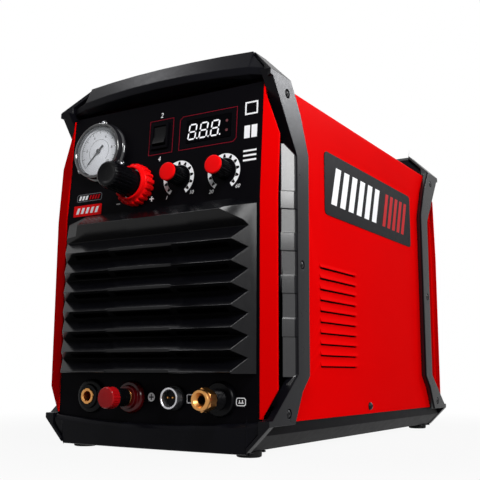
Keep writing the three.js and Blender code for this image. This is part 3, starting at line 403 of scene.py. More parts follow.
def ribbed_strut():
    finish = Finish(
        "grained_black_strut_moulding", Specular_IOR_Level=0.08, Coat_Roughness=0.2, Coat_IOR=1.5,
    )
    cell = finish.node("ShaderNodeSeparateXYZ", (), {0: finish.place}, "X")
    along = Tone(finish, cell.socket.node.outputs["Y"])
    across = finish.node("ShaderNodeMath", {"operation": "ABSOLUTE"}, {0: cell})
    depth = finish.node("ShaderNodeMath", {"operation": "ABSOLUTE"}, {0: along})
    recess = (1 - (across > RECESS_SIDE * MM)) * (1 - (depth > RECESS_END * MM))
    clouds = finish.noise(45.0)
    tint = finish.blend(clouds, (0.0024, 0.0024, 0.0036, 1), (0.0038, 0.0038, 0.0054, 1))
    finish.feed(Base_Color=tint, Coat_Weight=recess, Roughness=0.24 + 0.12 * finish.noise(7.0))
    return finish.feed(Normal=finish.bump(finish.noise(0.7, 2.0), 0.05)).material


solder_mask = board_mask()
lens_glass = clear_lens()
strut_moulding = ribbed_strut()
# Both glows are painted light on parts that are switched off.
painted_segment_glow = painted_glow("painted_glow", (0.80, 0.80, 0.84), 0.35)
lamp_red = painted_glow("small_red_lamp", (0.09, 0.006, 0.012), 0.05)
print("finishes:", len(bpy.data.materials))

# %% [markdown]
# The sheet metal and the mouldings already have their right shapes in the CAD solids, but a
# solid's edges are knife sharp, and real ones never are. So each is copied, its loose triangles
# are merged and its flat faces made whole again, and then a Bevel modifier rounds every edge.
# Weighted normals keep the broad faces flat beside those small rounds.

# %% Round the edges of a copy of a solid
def refined(node, width, finish, body="case", angle=28, segments=2, whole=True):
    piece = nodes[node].copy()
    piece.data = nodes[node].data.copy()
    for key in list(piece.keys()):
        del piece[key]
    piece.parent = None
    bpy.context.scene.collection.objects.link(piece)
    take(piece)
    bpy.ops.mesh.customdata_custom_splitnormals_clear()
    with editing(piece):
        bpy.ops.mesh.remove_doubles(threshold=0.002 * MM)
        if whole:
            bpy.ops.mesh.dissolve_limited(angle_limit=math.radians(0.8))
        face_outwards()
    use(
        piece, "BEVEL", width=width * MM, segments=segments, limit_method="ANGLE",
        angle_limit=math.radians(angle), use_clamp_overlap=False, miter_outer="MITER_ARC",
    )
    settle(piece, node + "_rounded", smooth=40)
    use(piece, "WEIGHTED_NORMAL", keep_sharp=True, weight=100)
    return dress(piece, finish, body, (node,))


# %% The case: cover, panels, tray and end frames
refined("outer_cover", 0.2, red_coat, whole=False)
for name in ("front_panel", "rear_panel", "base_tray"):
    refined(name, 0.4, dark_coat)
for end in ("front", "rear"):
    for side in ("right", "left"):
        refined(f"{end}_strut_{side}", 0.7, strut_moulding)
        refined(f"{end}_trim_{side}", 0.6, red_coat)
    refined(f"{end}_hood", 0.8, frame_moulding)
    refined(f"{end}_chin", 1.4, frame_moulding)
refined("front_grille", 0.45, grille_moulding)
refined("carry_handle", 1.6, frame_moulding, segments=3)

# %% [markdown]
# Behind the grille's slots and behind the louvres of both sides lie mats of black foam. They are
# painted shade: dark sheets put where the inside of the case lies in shadow, and they are what
# makes the slots look black from outside. A plane is subdivided and extruded to its thickness,
# and the open cells are left to the finish.

# %% Dark mats of painted shade behind the grille and the louvres
FOAM_THICK = 5.0
FOAM_INSET = 2.5      # from the cover's outside to the foam


# Each mat is a dark sheet of painted shade, put where the inside of the case lies in shadow.
def dark_mat_of_painted_shade(name, place, width, height):
    mat = added("plane", size=MM)
    with editing(mat):
        resize_flat(width, height)
        bpy.ops.mesh.subdivide(number_cuts=3)
        extrude_up(-FOAM_THICK)
        face_outwards()
    use(mat, "BEVEL", width=0.8 * MM, segments=2, limit_method="ANGLE")
    fitted(mat, name, place, painted_shade_foam)


facing = Matrix.Rotation(math.pi / 2, 4, "X")
dark_mat_of_painted_shade("grille_painted_shade", at(0, -238.4, 154) @ facing, 200, 146)
for side, way in SIDES:
    facing = Matrix.Rotation(math.pi / 2 * way, 4, "Y")
    place = at((CASE_SIDE - FOAM_INSET) * way, -88, 130.5) @ facing
    dark_mat_of_painted_shade(f"louvre_painted_shade_{side}", place, 112, 100)

# %% [markdown]
# The small moulded parts round the switches and the fan get finer rounds, because a corner
# radius grows with the wall it belongs to. Moving parts ride on their own bodies.

# %% Switches, display and fan
refined("mode_switch_housing", 0.3, dark_coat)
refined("mode_switch_rocker", 0.3, black_moulding, "mode_rocker")
refined("display_module", 0.3, window_tint)
refined("power_switch_housing", 0.3, black_moulding)
refined("power_switch_rocker", 0.3, red_moulding, "power_rocker")
refined("fan_frame", 0.6, black_moulding)
refined("fan_rotor", 0.4, black_moulding, "fan")
refined("gauge_needle", 0.12, print_black, "gauge_pointer")

# %% [markdown]
# What sits inside is only seen through the fan and the vents. Those solids stay as they are and
# get their metals and boards, each assigned to the solid's own material slot.

# %% Finishes of the inner solids
inner_finishes = {
    "inner_shelf": zinc_steel, "heat_sink": mill_aluminium, "power_board": solder_mask,
    "control_board": solder_mask, "main_transformer": varnished_iron,
    "solenoid_valve": turned_brass, "air_hose": foot_rubber, "filter_regulator": mill_aluminium,
    "regulator_spindle": zinc_steel,
}
for name, finish in inner_finishes.items():
    nodes[name].material_slots[0].material = finish
print("inner solids finished:", len(inner_finishes))

# %% [markdown]
# The upper face of both ends leans back by four degrees above the grille. Each control is
# modelled at the world's centre, looking up, and then laid on its face. This function finds that
# place from the CAD solid of the control: the foot of its axis on the panel, and the tilt.

# %% Find a control's place on its leaning face
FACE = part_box("front_panel")[0].y
LEAN = math.radians(4)
LEAN_START = 232 * MM


def spot(node, rear=False):
    low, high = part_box(node)
    turn = Matrix.Rotation(math.pi, 4, "Z") if rear else Matrix()
    middle = turn @ ((low + high) / 2)
    lean = LEAN if middle.z > LEAN_START else 0.0
    out = Vector((0, -math.cos(lean), math.sin(lean)))
    start = Vector((0, FACE, LEAN_START))
    foot = middle - out * (middle - start).dot(out)
    return turn @ Matrix.Translation(foot) @ Matrix.Rotation(math.pi / 2 - lean, 4, "X")


def face_place(x, z):
    lean = LEAN if z * MM > LEAN_START else 0.0
    y = FACE + (z * MM - LEAN_START) * math.tan(lean)
    return Matrix.Translation((x * MM, y, z * MM)) @ Matrix.Rotation(math.pi / 2 - lean, 4, "X")


print("gauge at", spot("gauge_dial").translation)

# %% [markdown]
# Anything made on a lathe is one circle that is extruded upwards again and again, and scaled to
# each new radius of the profile. A ring with a hole starts as a bare circle and comes back to
# its first point. Then the doubles are merged and the normals are made to face outwards. Flutes
# and teeth repeat every few degrees: the points past each ridge are drawn in towards the axis.

# %% Turn a profile as on a lathe
def turned(profile, sides=64, hollow=False):
    radius, height = profile[0]
    piece = added(
        "circle", vertices=sides, radius=radius * MM, location=(0, 0, height * MM),
        fill_type="NOTHING" if hollow else "NGON",
    )
    path = list(profile) + ([profile[0]] if hollow else [])
    with editing(piece):
        for (r0, z0), (r1, z1) in zip(path, path[1:]):
            extrude_up(z1 - z0)
            bpy.ops.transform.resize(value=(r1 / r0, r1 / r0, 1), center_override=(0, 0, z1 * MM))
        bpy.ops.mesh.select_all(action="SELECT")
        if hollow:
            bpy.ops.mesh.remove_doubles(threshold=0.001 * MM)
        bpy.ops.mesh.normals_make_consistent(inside=False)
    return settle(piece, "turned")


def fluted(piece, inside, every, ridge, factor, low=-math.inf, high=math.inf):
    def in_groove(vert):
        radius = math.hypot(vert.co.x, vert.co.y) / MM
        degrees = math.degrees(math.atan2(vert.co.y, vert.co.x)) % 360
        return low < vert.co.z / MM < high and radius > inside and degrees % every > ridge

    with editing(piece):
        pick(piece, in_groove, "verts")
        resize_flat(factor, factor)
    return piece


# %% Rubber feet, one turned and four copied
sole = turned([(3, 1.8), (3, 0), (10, 0), (11, 0.4), (11.5, 1.5), (11.5, 5.7)], 48)
for node in ("foot_front_left", "foot_front_right", "foot_rear_left", "foot_rear_right"):
    low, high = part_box(node)
    middle = (low + high) / 2
    foot = copied(sole, node + "_turned", Matrix.Translation((middle.x, middle.y, 0)))
    dress(foot, foot_rubber, stands_for=(node,))
bpy.data.objects.remove(sole)

# %% [markdown]
# Recessed crosshead screws hold the frames, the fan guard and the gauge. One is made from a
# turned dome, and a Boolean with a cross of two bars cuts its recess, as a driver's bit would
# fill it. Everything else is a copy of it at another size.

# %% A crosshead screw
def crosshead():
    head = turned([(2.9, -0.6), (2.9, 0.0), (2.75, 0.7), (2.2, 1.35), (1.3, 1.75), (0.5, 1.85)], 32)
    for across in ((2.9, 0.62), (0.62, 2.9)):
        bar = added("cube", size=MM, location=(0, 0, 1.5 * MM), scale=(*across, 1.9))
        with editing(bar, "FACE"):
            pick(bar, lambda face: face.normal.z < -0.5)
            resize_flat(0.55, 0.55)
        use(head, "BOOLEAN", object=bar, operation="DIFFERENCE", solver="EXACT")
        bpy.data.objects.remove(bar)
    return settle(head, "crosshead")


screw = crosshead()


def screwed(name, place, finish, size, turn):
    placing = place @ Matrix.Rotation(math.radians(turn), 4, "Z") @ Matrix.Scale(size, 4)
    dress(copied(screw, name, placing), finish)


# %% Screws of the end frames and the cover
STRUT_SIDE = 128.7    # from the middle to the seats of the struts' screws
STRUT_SCREWS = ((-213.6, 336.7), (-185.0, 175.4), (-213.0, 38.0))
for side, way in SIDES:
    sideways = Matrix.Rotation(math.radians(90 * way), 4, "Y")
    for end, back in (("front", 1), ("rear", -1)):
        for number, (y, z) in enumerate(STRUT_SCREWS):
            place = at(STRUT_SIDE * way, y * back, z) @ sideways
            name = f"{end}_{side}_screw_{number + 1}"
            screwed(name, place, dark_steel, 1.36, 25 + 31 * number)
    place = at((CASE_SIDE + 0.2) * way, -8, 38) @ sideways
    screwed(f"cover_screw_{side}", place, dark_steel, 1.5, 40)

# %% [markdown]
# The pressure gauge has a smoked clear rim with three screwed lugs, a silver dial behind a flat
# lens, and a black needle that turns. The dial's marks are one tick spun round in copies, two
# thin arcs and plain numbers: on the real face such marks are printed, so they are very thin.

# %% Thin prints: ticks, arcs and numerals
INK_LEVEL = 0.05      # prints start this far above the paint


def bar(width, height, level=INK_LEVEL, thick=0.06):
    piece = added("plane", size=MM, location=(0, 0, level * MM))
    with editing(piece):
        resize_flat(width, height)
        extrude_up(thick)
        face_outwards()
    return piece


def ticks(radius, length, width, first, sweep, count, level, taper=1.0):
    piece = bar(length, width, level)
    with editing(piece):
        pick(piece, lambda vert: vert.co.x > 0, "verts")
        resize_flat(1, taper)
        bpy.ops.mesh.select_all(action="SELECT")
        bpy.ops.transform.translate(value=(radius * MM, 0, 0))
    piece.data.transform(Matrix.Rotation(math.radians(first), 4, "Z"))
    with editing(piece):
        bpy.ops.mesh.spin(
            steps=count, dupli=True, angle=math.radians(-sweep), center=(0, 0, 0), axis=(0, 0, 1)
        )
        face_outwards()
    return settle(piece, "ticks")


def arc(inner, outer, first, sweep, steps, level, thick=0.06):
    piece = added("plane", size=MM, location=((inner + outer) / 2 * MM, 0, level * MM))
    with editing(piece):
        bpy.ops.transform.resize(
            value=(outer - inner, 1, 1), center_override=((inner + outer) / 2 * MM, 0, 0)
        )
        pick(piece, lambda vert: vert.co.y > 0, "verts")
        bpy.ops.mesh.delete(type="VERT")
        bpy.ops.mesh.select_all(action="SELECT")
        bpy.ops.transform.translate(value=(0, 0.5 * MM, 0))
    piece.data.transform(piece.matrix_world)
    piece.matrix_world = Matrix()
    piece.data.transform(Matrix.Rotation(math.radians(first), 4, "Z"))
    with editing(piece):
        bpy.ops.mesh.spin(
            steps=steps, angle=math.radians(-sweep), center=(0, 0, 0), axis=(0, 0, 1)
        )
        bpy.ops.mesh.select_all(action="SELECT")
        extrude_up(thick)
        bpy.ops.mesh.select_all(action="SELECT")
        bpy.ops.mesh.remove_doubles(threshold=0.001 * MM)
        bpy.ops.mesh.normals_make_consistent(inside=False)
    return settle(piece, "arc")


def numeral(text, size, level, x=0.0, y=0.0, slant=0.0):
    bpy.ops.object.text_add()
    piece = bpy.context.object
    piece.data.body = text
    piece.data.size = size * MM
    piece.data.shear = slant
    piece.data.extrude = 0.03 * MM
    piece.data.resolution_u = 3
    piece.data.align_x = "CENTER"
    piece.data.align_y = "CENTER"
    take(piece)
    bpy.ops.object.convert(target="MESH")
    return settle(piece, "numeral", at(x, y, level))


def around(radius, degrees):
    turn = math.radians(degrees)
    return radius * math.cos(turn), radius * math.sin(turn)


def leaned(piece, lean):
    piece.data.transform(Matrix(((1, lean, 0, 0), (0, 1, 0, 0), (0, 0, 1, 0), (0, 0, 0, 1))))
    return piece


# %% The gauge's rim, lugs, dial and lens
LUG_ANGLES = (90, 210, 330)
gauge = spot("gauge_dial")
rim = turned([
    (26.5, -24), (26.5, 0.3), (31.5, 0.3), (31.5, 2.5), (30.8, 3.4), (30, 4.2), (30, 10.1),
    (29.4, 11.1), (28.6, 11.5), (27.6, 11.4), (26.9, 10.6), (26.8, 5.0),
], 96)
lugs = [turned([(4, 0.3), (4, 2.3), (3.6, 2.7)], 24) for _ in range(3)]
for lug, degrees in zip(lugs, LUG_ANGLES):
    lug.data.transform(at(*around(32, degrees), 0))
case = joined("gauge_rim", rim, *lugs)
case.data.transform(gauge)
dress(case, smoked_clear, stands_for=("gauge_case",))
for number, degrees in enumerate(LUG_ANGLES):
    place = gauge @ at(*around(32.6, degrees), 2.7)
    screwed(f"gauge_screw_{number + 1}", place, zinc_steel, 0.8, 35 * number)
face = settle(turned([(26.5, 5.3), (26.5, 6.0), (26.3, 6.1)], 96), "gauge_face", gauge)
dress(face, dial_paint, stands_for=("gauge_dial",))
lens = settle(turned([(26.5, 9.0), (26.5, 10.0), (26.0, 10.5)], 96), "gauge_glass", gauge)
dress(lens, lens_glass, stands_for=("gauge_lens",))

# %% The marks printed on the gauge's dial
FIRST, SWEEP = 225, -270
DIAL_INK = 6.12       # the marks stand on the dial's paint
marks = [
    ticks(21.6, 3.4, 0.5, FIRST, SWEEP, 10, DIAL_INK),
    ticks(22.4, 1.6, 0.28, FIRST, SWEEP, 50, DIAL_INK),
    arc(23.4, 23.8, FIRST, SWEEP, 72, DIAL_INK),
    arc(13.0, 13.3, FIRST, SWEEP, 60, DIAL_INK),
]
for step in range(6):
    x, y = around(17.0, FIRST + SWEEP * step / 5)
    marks.append(numeral(str(2 * step), 4.4, DIAL_INK + 0.01, x, y))
scale = joined("gauge_marks", *marks)
scale.data.transform(gauge)
dress(scale, print_black)

# %% [markdown]
# The air regulator's knob is a grip with shallow flutes and a dished end, which comes out of the
# smooth collar of a bright red locking ring with twenty teeth. Both are turned with enough sides
# that every tooth and flute gets whole steps, and then the points between two are drawn inwards.

# %% The toothed ring and the fluted grip
regulator = spot("regulator_knob")
ring = turned([
    (15.3, 0.3), (21.3, 0.3), (21.3, 8.6), (20.6, 9.6), (18.6, 10.0), (18.1, 10.4), (17.7, 13.8),
    (17.2, 14.7), (16.4, 15.0), (15.6, 14.8), (15.3, 14.2),
], 160, hollow=True)
fluted(ring, 20, 18, 11, 0.915)
ring = settle(ring, "regulator_locking_ring", regulator)
dress(ring, red_moulding, stands_for=("regulator_ring",))

grip = turned([
    (13.4, 8.6), (14, 9.4), (14, 20.5), (13.9, 22.5), (13.5, 42.4), (13.1, 45), (12.3, 47.1),
    (11, 48), (9.6, 47.8), (8.2, 46.7), (6.5, 46.2), (2.0, 46.1),
], 144)
fluted(grip, 12, 15, 8, 0.955, 21, 45.5)
grip = settle(grip, "regulator_grip_turned", regulator)
dress(grip, black_moulding, "regulator_grip", ("regulator_knob",))

# %% [markdown]
# Two potentiometer knobs share one shape: a fluted black skirt with a white pointer line along its
# top, under a flat, bright red cap. They are modelled once and copied to both places.

# %% The two knobs and their caps
skirt = turned([(8.6, 0.8), (9, 1.3), (9, 18.6), (8.7, 19.2), (3.2, 19.2), (3.0, 19.1)], 96)
fluted(skirt, 8, 15, 8, 0.93, 1, 18.8)
shaft = turned([(3, -13), (3, 0.9)], 24)
skirt = joined("knob_skirt", skirt, shaft)
cap = turned([(8.8, 19.5), (9, 19.8), (9, 21.0), (8.7, 21.6), (8.1, 21.9), (7.4, 22.0)], 64)
for knob, body in (("postflow_knob", "postflow_dial"), ("current_knob", "current_dial")):
    place = spot(knob + "_cap")
    dress(copied(skirt, knob + "_skirt", place), black_moulding, body, (knob,))
    top = copied(cap, knob + "_cap_turned", place)
    dress(top, red_moulding, body, (knob + "_cap",))
    along = at(0, 9, 11) @ Matrix.Rotation(-math.pi / 2, 4, "X")
    pointer = settle(bar(0.8, 14.0, 0.0, 0.12), knob + "_pointer", place @ along)
    dress(pointer, print_white, body=body)
bpy.data.objects.remove(skirt)
bpy.data.objects.remove(cap)

# %% [markdown]
# The fascia is screen printed: a scale round each knob, thin red outlines round the switch and
# the display, and small signs. Such ink is only a tenth of a millimetre thick, so each print is
# a thin solid that floats a hair above the paint, and never fights with it for the same pixels.

# %% Scales round the knobs
def scale_print(name, place, low, high):
    first, sweep = 238, -296
    place = place @ at(-1.2, -1.0, 0)
    parts = [
        arc(13.7, 18.1, first, sweep, 72, 0.04),
        numeral(low, 5.2, INK_LEVEL, -13.4, -18.2, 0.25),
        numeral(high, 5.2, INK_LEVEL, 16.0, -15.8, 0.25),
    ]
    fitted(joined(name, *parts), name, place, print_white)
    gaps = ticks(15.6, 3.4, 3.5, first - 14, sweep + 28, 10, 0.11, 0.5)
    fitted(gaps, name + "_gaps", place, print_black)


scale_print("postflow_scale", spot("postflow_knob_cap"), "1", "10")
scale_print("current_scale", spot("current_knob_cap"), "20", "60")


# %% Outlines with clipped corners
def outline(width, height, corner, line, thick=0.07, clipped=lambda vert: True):
    piece = added("plane", size=MM, location=(0, 0, INK_LEVEL * MM))
    with editing(piece):
        resize_flat(width, height)
        if corner:
            pick(piece, clipped, "verts")
            bpy.ops.mesh.bevel(offset=corner * MM, affect="VERTICES", segments=1)
            bpy.ops.mesh.select_all(action="SELECT")
        bpy.ops.mesh.inset(thickness=line * MM)
        bpy.ops.mesh.delete(type="FACE")
        bpy.ops.mesh.select_all(action="SELECT")
        extrude_up(thick)
        face_outwards()
    return settle(piece, "outline")


def slab(width, height, corner, level, thick, segments=1):
    piece = added("plane", size=MM, location=(0, 0, level * MM))
    with editing(piece):
        resize_flat(width, height)
        if corner:
            bpy.ops.mesh.bevel(offset=corner * MM, affect="VERTICES", segments=segments)
            bpy.ops.mesh.select_all(action="SELECT")
        extrude_up(thick)
        face_outwards()
    return settle(piece, "slab")


def moved(piece, x=0.0, y=0.0, turn=0.0):
    shift = at(x, y, 0) @ Matrix.Rotation(math.radians(turn), 4, "Z")
    piece.data.transform(shift)
    return piece


switch_line = outline(29.8, 36.6, 0, 0.55)
fitted(switch_line, "switch_outline", face_place(0.1, 307.7), print_dark_red)
display_line = outline(67.1, 35.3, 3.4, 0.55, clipped=lambda vert: vert.co.x * vert.co.y < 0)
fitted(display_line, "display_outline", face_place(56.2, 307.2), print_dark_red)
for label, x, z in (("2", -0.6, 330.4), ("4", -0.6, 284.2)):
    number = numeral(label, 7.2, INK_LEVEL, slant=0.2)
    fitted(number, f"switch_number_{label}", face_place(x, z), print_white)

# %% [markdown]
# The display is a dark tinted window with three slanted seven-segment digits and their dots, as
# they all light up when the machine is switched on. Here the display is off, and the faint glow
# of its segments and red lamps is painted light. One segment is a bar with clipped ends, and
# the rest of the digit is made of its turned copies.

# %% Digits and lamps behind the window
def segment(length, width, x, y, turn):
    piece = slab(length, width, width * 0.45, 0.32, 0.12)
    return moved(piece, x, y, turn)


def digit(x, size=16.4, slant=0.14):
    half = size / 2
    across = size * 0.25
    parts = [segment(across * 2 - 1.5, 1.5, 0, y, 0) for y in (-half + 0.7, 0, half - 0.7)]
    for side in (-1, 1):
        for y in (-half / 2 + 0.1, half / 2 - 0.1):
            parts.append(segment(half - 1.9, 1.5, side * across, y, 90))
    parts.append(segment(1.8, 1.8, across + 2.6, -half + 0.9, 0))
    whole = joined("digit", *parts)
    return moved(leaned(whole, slant), x)


window = face_place(57, 306.8)
digits = joined("display_digits", *[digit(x) for x in (-18.4, -5.2, 8.0)])
fitted(digits, "display_digits", window, painted_segment_glow)
lamps = joined(
    "display_lamps", *[moved(slab(2.6, 2.6, 0.8, 0.3, 0.15, 4), 21.4, y) for y in (-4.2, 5.4)]
)
fitted(lamps, "display_lamps", window, lamp_red)


# %% Signs by the regulator, the sockets and the fascia's edge
def plus(size, width, level=INK_LEVEL):
    return [bar(size, width, level), bar(width, size, level)]


def sign(name, place, *parts, ink=None):
    piece = joined(name, *parts) if len(parts) > 1 else parts[0]
    fitted(piece, name, place, ink or print_white)


sign("minus_sign", face_place(-49.5, 243.0), bar(4.6, 1.2))
sign("plus_sign", face_place(-6.6, 243.8), *plus(5.2, 1.2))
sign("work_disc", face_place(-0.6, 50.8), turned([(4.1, 0.04), (4.1, 0.11)], 40))
sign("work_disc_plus", face_place(-0.6, 50.8), *plus(5.6, 1.1, 0.12), ink=print_black)
sign(
    "torch_box", face_place(98.9, 48.6), outline(10.2, 7.4, 1.4, 0.8),
    moved(bar(5.4, 0.9), 0, -1.0), *[moved(bar(0.9, 2.4), x, 0.4) for x in (-1.5, 1.5)],
)
sign("switch_box", face_place(44.0, 50.2), outline(7.4, 8.4, 1.2, 0.9))
MARKS_X = 105.3       # the three signs stand in one column
sign("fascia_mark_1", face_place(MARKS_X, 320.4), outline(14.0, 13.0, 0, 1.5))
sign(
    "fascia_mark_2", face_place(MARKS_X, 297.0),
    *[moved(bar(6.1, 12.5), x) for x in (-3.9, 3.9)],
)
sign(
    "fascia_mark_3", face_place(MARKS_X, 273.6),
    *[moved(bar(14.2, 1.8), 0, y) for y in (-4.6, 0, 4.6)],
)

# %% [markdown]
# Under the gauge and on both sides of the cover the machine wears patterns of slanted stripes:
# pale ones on a red plate, white and red ones in a thin frame above it, and large ones on a black
# plaque. A stripe is a thin slab whose top is pushed sideways.

# %% Striped plates below the gauge
def stripe(x, width, height, level=0.62, lean=0.32):
    return moved(leaned(slab(width, height, 0, level, 0.1), lean), x)


lower = face_place(-90.4, 240.6)
red_plate = settle(slab(38.0, 11.8, 0.8, INK_LEVEL, 0.35, 3), "red_plate", lower)
dress(red_plate, red_moulding)
sign("red_plate_stripes", lower, *[stripe(-12.8 + 6.4 * n, 3.4, 6.4, 0.41) for n in range(5)])
upper = face_place(-89.4, 254.6)
sign("upper_frame", upper, outline(34.0, 8.0, 1.6, 0.5), ink=print_grey)
sign(
    "upper_white_stripes", upper,
    *[stripe(-12.4 + 4.4 * n, 2.8, 4.6, INK_LEVEL) for n in range(3)],
)
sign(
    "upper_red_stripes", upper,
    *[stripe(1.4 + 3.8 * n, 2.2, 4.6, INK_LEVEL) for n in range(4)], ink=print_red,
)

# %% Side plaques with slanted stripes
for side, way in SIDES:
    upright = Matrix.Rotation(math.pi / 2 * way, 4, "Z") @ Matrix.Rotation(math.pi / 2, 4, "X")
    place = at((CASE_SIDE + INK_LEVEL) * way, 11, 271.2) @ upright
    plaque = settle(slab(262.0, 68.0, 6.0, 0.0, 0.6, 5), f"side_plaque_{side}", place)
    dress(plaque, print_black)
    white = joined("stripes", *[stripe(-102 + 22.5 * n, 13.5, 42) for n in range(6)])
    fitted(white, f"plaque_white_stripes_{side}", place, print_white)
    red = joined("stripes", *[stripe(42 + 16.0 * n, 9.0, 42) for n in range(5)])
    fitted(red, f"plaque_red_stripes_{side}", place, print_red)

# %% [markdown]
# Along the bottom sit the lead connections: a brass pin socket in a black collar, a red binding
# post with its washer and cap, a plated two-pin socket, and a brass hexagon fitting for the
# torch. All are lathe work, so all are turned, and the hexagons start from circles of six sides.

# %% Pilot lead socket
pilot = spot("pilot_socket_contact")
collar = turned([
    (8.1, -12), (9.5, -12), (9.5, 0.3), (16.5, 0.3), (16.5, 2.2), (15.9, 3.2), (15, 3.8),
    (12, 4.2), (11.6, 4.8), (11.3, 6.7), (11.0, 7.0), (8.1, 7.0),
], 72, hollow=True)
fitted(
    collar, "pilot_collar", pilot, black_moulding, stands_for=("pilot_socket",),
)
sleeve = turned([
    (7.8, -18), (7.8, 7.6), (7.5, 8.2), (7.0, 8.4), (5.6, 8.4), (5.0, 8.0), (4.8, 7.6),
    (4.8, -10), (0.6, -10), (0.6, -18),
], 64, hollow=True)
fluted(sleeve, 6.5, 60, 50, 0.93, low=6)
fitted(
    sleeve, "pilot_contact_sleeve", pilot, turned_brass,
    stands_for=("pilot_socket_contact",),
)

# %% Work lead binding post
post = spot("work_terminal_washer")
base = turned([
    (4.2, -6), (6.4, -6), (6.4, 0.3), (15.5, 0.3), (15.5, 2.6), (14.9, 3.9), (13.8, 5.1),
    (11.5, 5.5), (11.0, 6.2), (10.6, 9.1), (10.2, 9.4), (4.2, 9.4),
], 72, hollow=True)
fitted(
    base, "work_post_base", post, deep_red_moulding,
    stands_for=("work_terminal_base",),
)
thread = [(3.9, -16)]
for turn_number in range(24):
    level = -14 + 1.9 * turn_number
    thread += [(3.9, level), (3.55, level + 0.5), (3.55, level + 0.9), (3.9, level + 1.4)]
stud = turned(thread + [(3.5, 32.0)], 32)
fitted(stud, "work_post_stud", post, turned_brass, stands_for=("work_terminal_stud",))
washer = turned([(4.2, 9.7), (7.7, 9.7), (8, 10.0), (8, 11.1), (7.7, 11.4), (4.2, 11.4)], 48, True)
fitted(
    washer, "work_post_washer", post, turned_brass, "terminal_washer",
    ("work_terminal_washer",),
)
# The neck under the red cap lies in the cap's shadow; it is given black moulding, which is painted
# shade.
neck = turned([
    (8.2, 11.7), (8.5, 12.0), (8.5, 25.4), (9.4, 26.6), (10, 27.3), (10, 28.3), (9.6, 28.6),
], 72)
fitted(neck, "work_post_neck_painted_shade", post, black_moulding, "terminal_cap")
thumb = turned([
    (9.6, 28.7), (10, 29.0), (10, 37.3), (9.7, 38.2), (9.0, 38.9), (8.4, 39.0), (1.0, 39.0),
], 72)
fluted(thumb, 9, 15, 8, 0.95, high=37.5)
fitted(
    thumb, "work_post_cap", post, dark_red_moulding, "terminal_cap",
    ("work_terminal_cap",),
)

# %% Torch switch socket with two gilt pins
socket = spot("torch_switch_socket")
seat = turned([(7.5, -10), (7.5, 0.3), (11.5, 0.3), (11.5, 2.2), (11.1, 2.9), (10.4, 3.1)], 72)
fitted(seat, "torch_switch_seat", socket, black_moulding)
shell = turned([
    (9.7, 3.1), (10, 3.4), (10, 11.0), (9.7, 11.7), (9.2, 12), (8.5, 12), (8.0, 11.6), (7.8, 11),
    (7.8, 4),
], 72)
fluted(shell, 9.5, 10, 4, 0.985, 4, 10.5)
fitted(
    shell, "torch_switch_shell", socket, bright_chrome,
    stands_for=("torch_switch_socket",),
)
insert = turned([(7.7, 4.05), (7.7, 5.0), (7.3, 5.3)], 48)
fitted(insert, "torch_switch_insert", socket, black_moulding)
for side, x in (("left", -2.8), ("right", 2.8)):
    pin = turned([(0.95, 5.0), (0.95, 8.8), (0.7, 9.3), (0.3, 9.5)], 20)
    pin.data.transform(at(x, 0.6, 0))
    fitted(pin, f"torch_switch_pin_{side}", socket, turned_brass)

# %% Torch fitting: flange, hexagon, barrel and coned bore
torch = spot("torch_fitting")
flange = turned([
    (7.3, -5), (10, -5), (10, 0.3), (16, 0.3), (16, 3.2), (15.4, 4.6), (14.3, 5.4), (7.3, 5.5),
], 72, hollow=True)
fitted(
    flange, "torch_collar", torch, black_moulding, stands_for=("torch_flange",),
)
# The barrel behind the hexagon is brass in shadow; it is given black moulding, which is painted
# shade.
sleeve_profile = [(6.6, -16), (7, -15.6), (7, 5.8), (9.5, 5.8)]
for ridge in range(6):
    level = 7.4 + 2.2 * ridge
    sleeve_profile += [(9.5, level), (9.0, level + 0.5), (9.0, level + 1.0), (9.5, level + 1.5)]
sleeve_profile += [(9.5, 20.7), (4.0, 20.7), (4.0, 13), (0.4, 12.6)]
fitted(turned(sleeve_profile, 72), "torch_barrel_painted_shade", torch, black_moulding)
hexagon = turned([
    (9, 21), (9.9, 21), (10.8, 21.6), (10.8, 31.4), (9.9, 32), (9, 32),
], 6, hollow=True)
hexagon = use(hexagon, "BEVEL", width=0.4 * MM, segments=2, limit_method="ANGLE")
nose = turned([
    (4.0, 20.9), (9.2, 20.9), (9.5, 21.2), (9.5, 32.4), (9.2, 34), (8.6, 35), (6.5, 35),
    (4.0, 31.5),
], 72, hollow=True)
fitting = joined("torch_fitting_turned", hexagon, nose)
fitted(
    fitting, "torch_fitting_turned", torch, turned_brass, stands_for=("torch_fitting",),
)

# %% [markdown]
# The back has the fan behind a guard of wire rings, the mains switch, the cable gland and the
# hose tail. Rings of wire are tori, which start from a primitive and get their places in the
# mesh; the four spokes that hold them are bars with rounded edges.

# %% Fan guard
GUARD_ANGLES = (45, 135, 225, 315)
EYE_RADIUS = 73.5     # from the fan's axis to the guard's screws
guard_place = spot("fan_frame", rear=True)
wires = []
for radius in (15, 29.3, 43.7, 58):
    wire = added("torus", major_radius=radius * MM, minor_radius=1.0 * MM, major_segments=96,
                 minor_segments=10, location=(0, 0, 5.0 * MM))
    wires.append(settle(wire, "wire"))
for degrees in GUARD_ANGLES:
    spoke = bar(58.5, 3.4, 2.7, 1.8)
    spoke = use(spoke, "BEVEL", width=0.5 * MM, segments=2)
    wires.append(moved(settle(spoke, "spoke"), *around(42.7, degrees), degrees))
    eye = turned([(4.2, 2.7), (4.2, 4.2), (3.9, 4.5)], 28)
    wires.append(moved(eye, *around(EYE_RADIUS, degrees)))
guard = joined("fan_guard_wires", *wires)
fitted(guard, "fan_guard_wires", guard_place, zinc_steel, stands_for=("fan_guard",))
for number, degrees in enumerate(GUARD_ANGLES):
    place = guard_place @ at(*around(EYE_RADIUS, degrees), 4.5)
    screwed(f"guard_screw_{number + 1}", place, zinc_steel, 0.9, 40 * number)

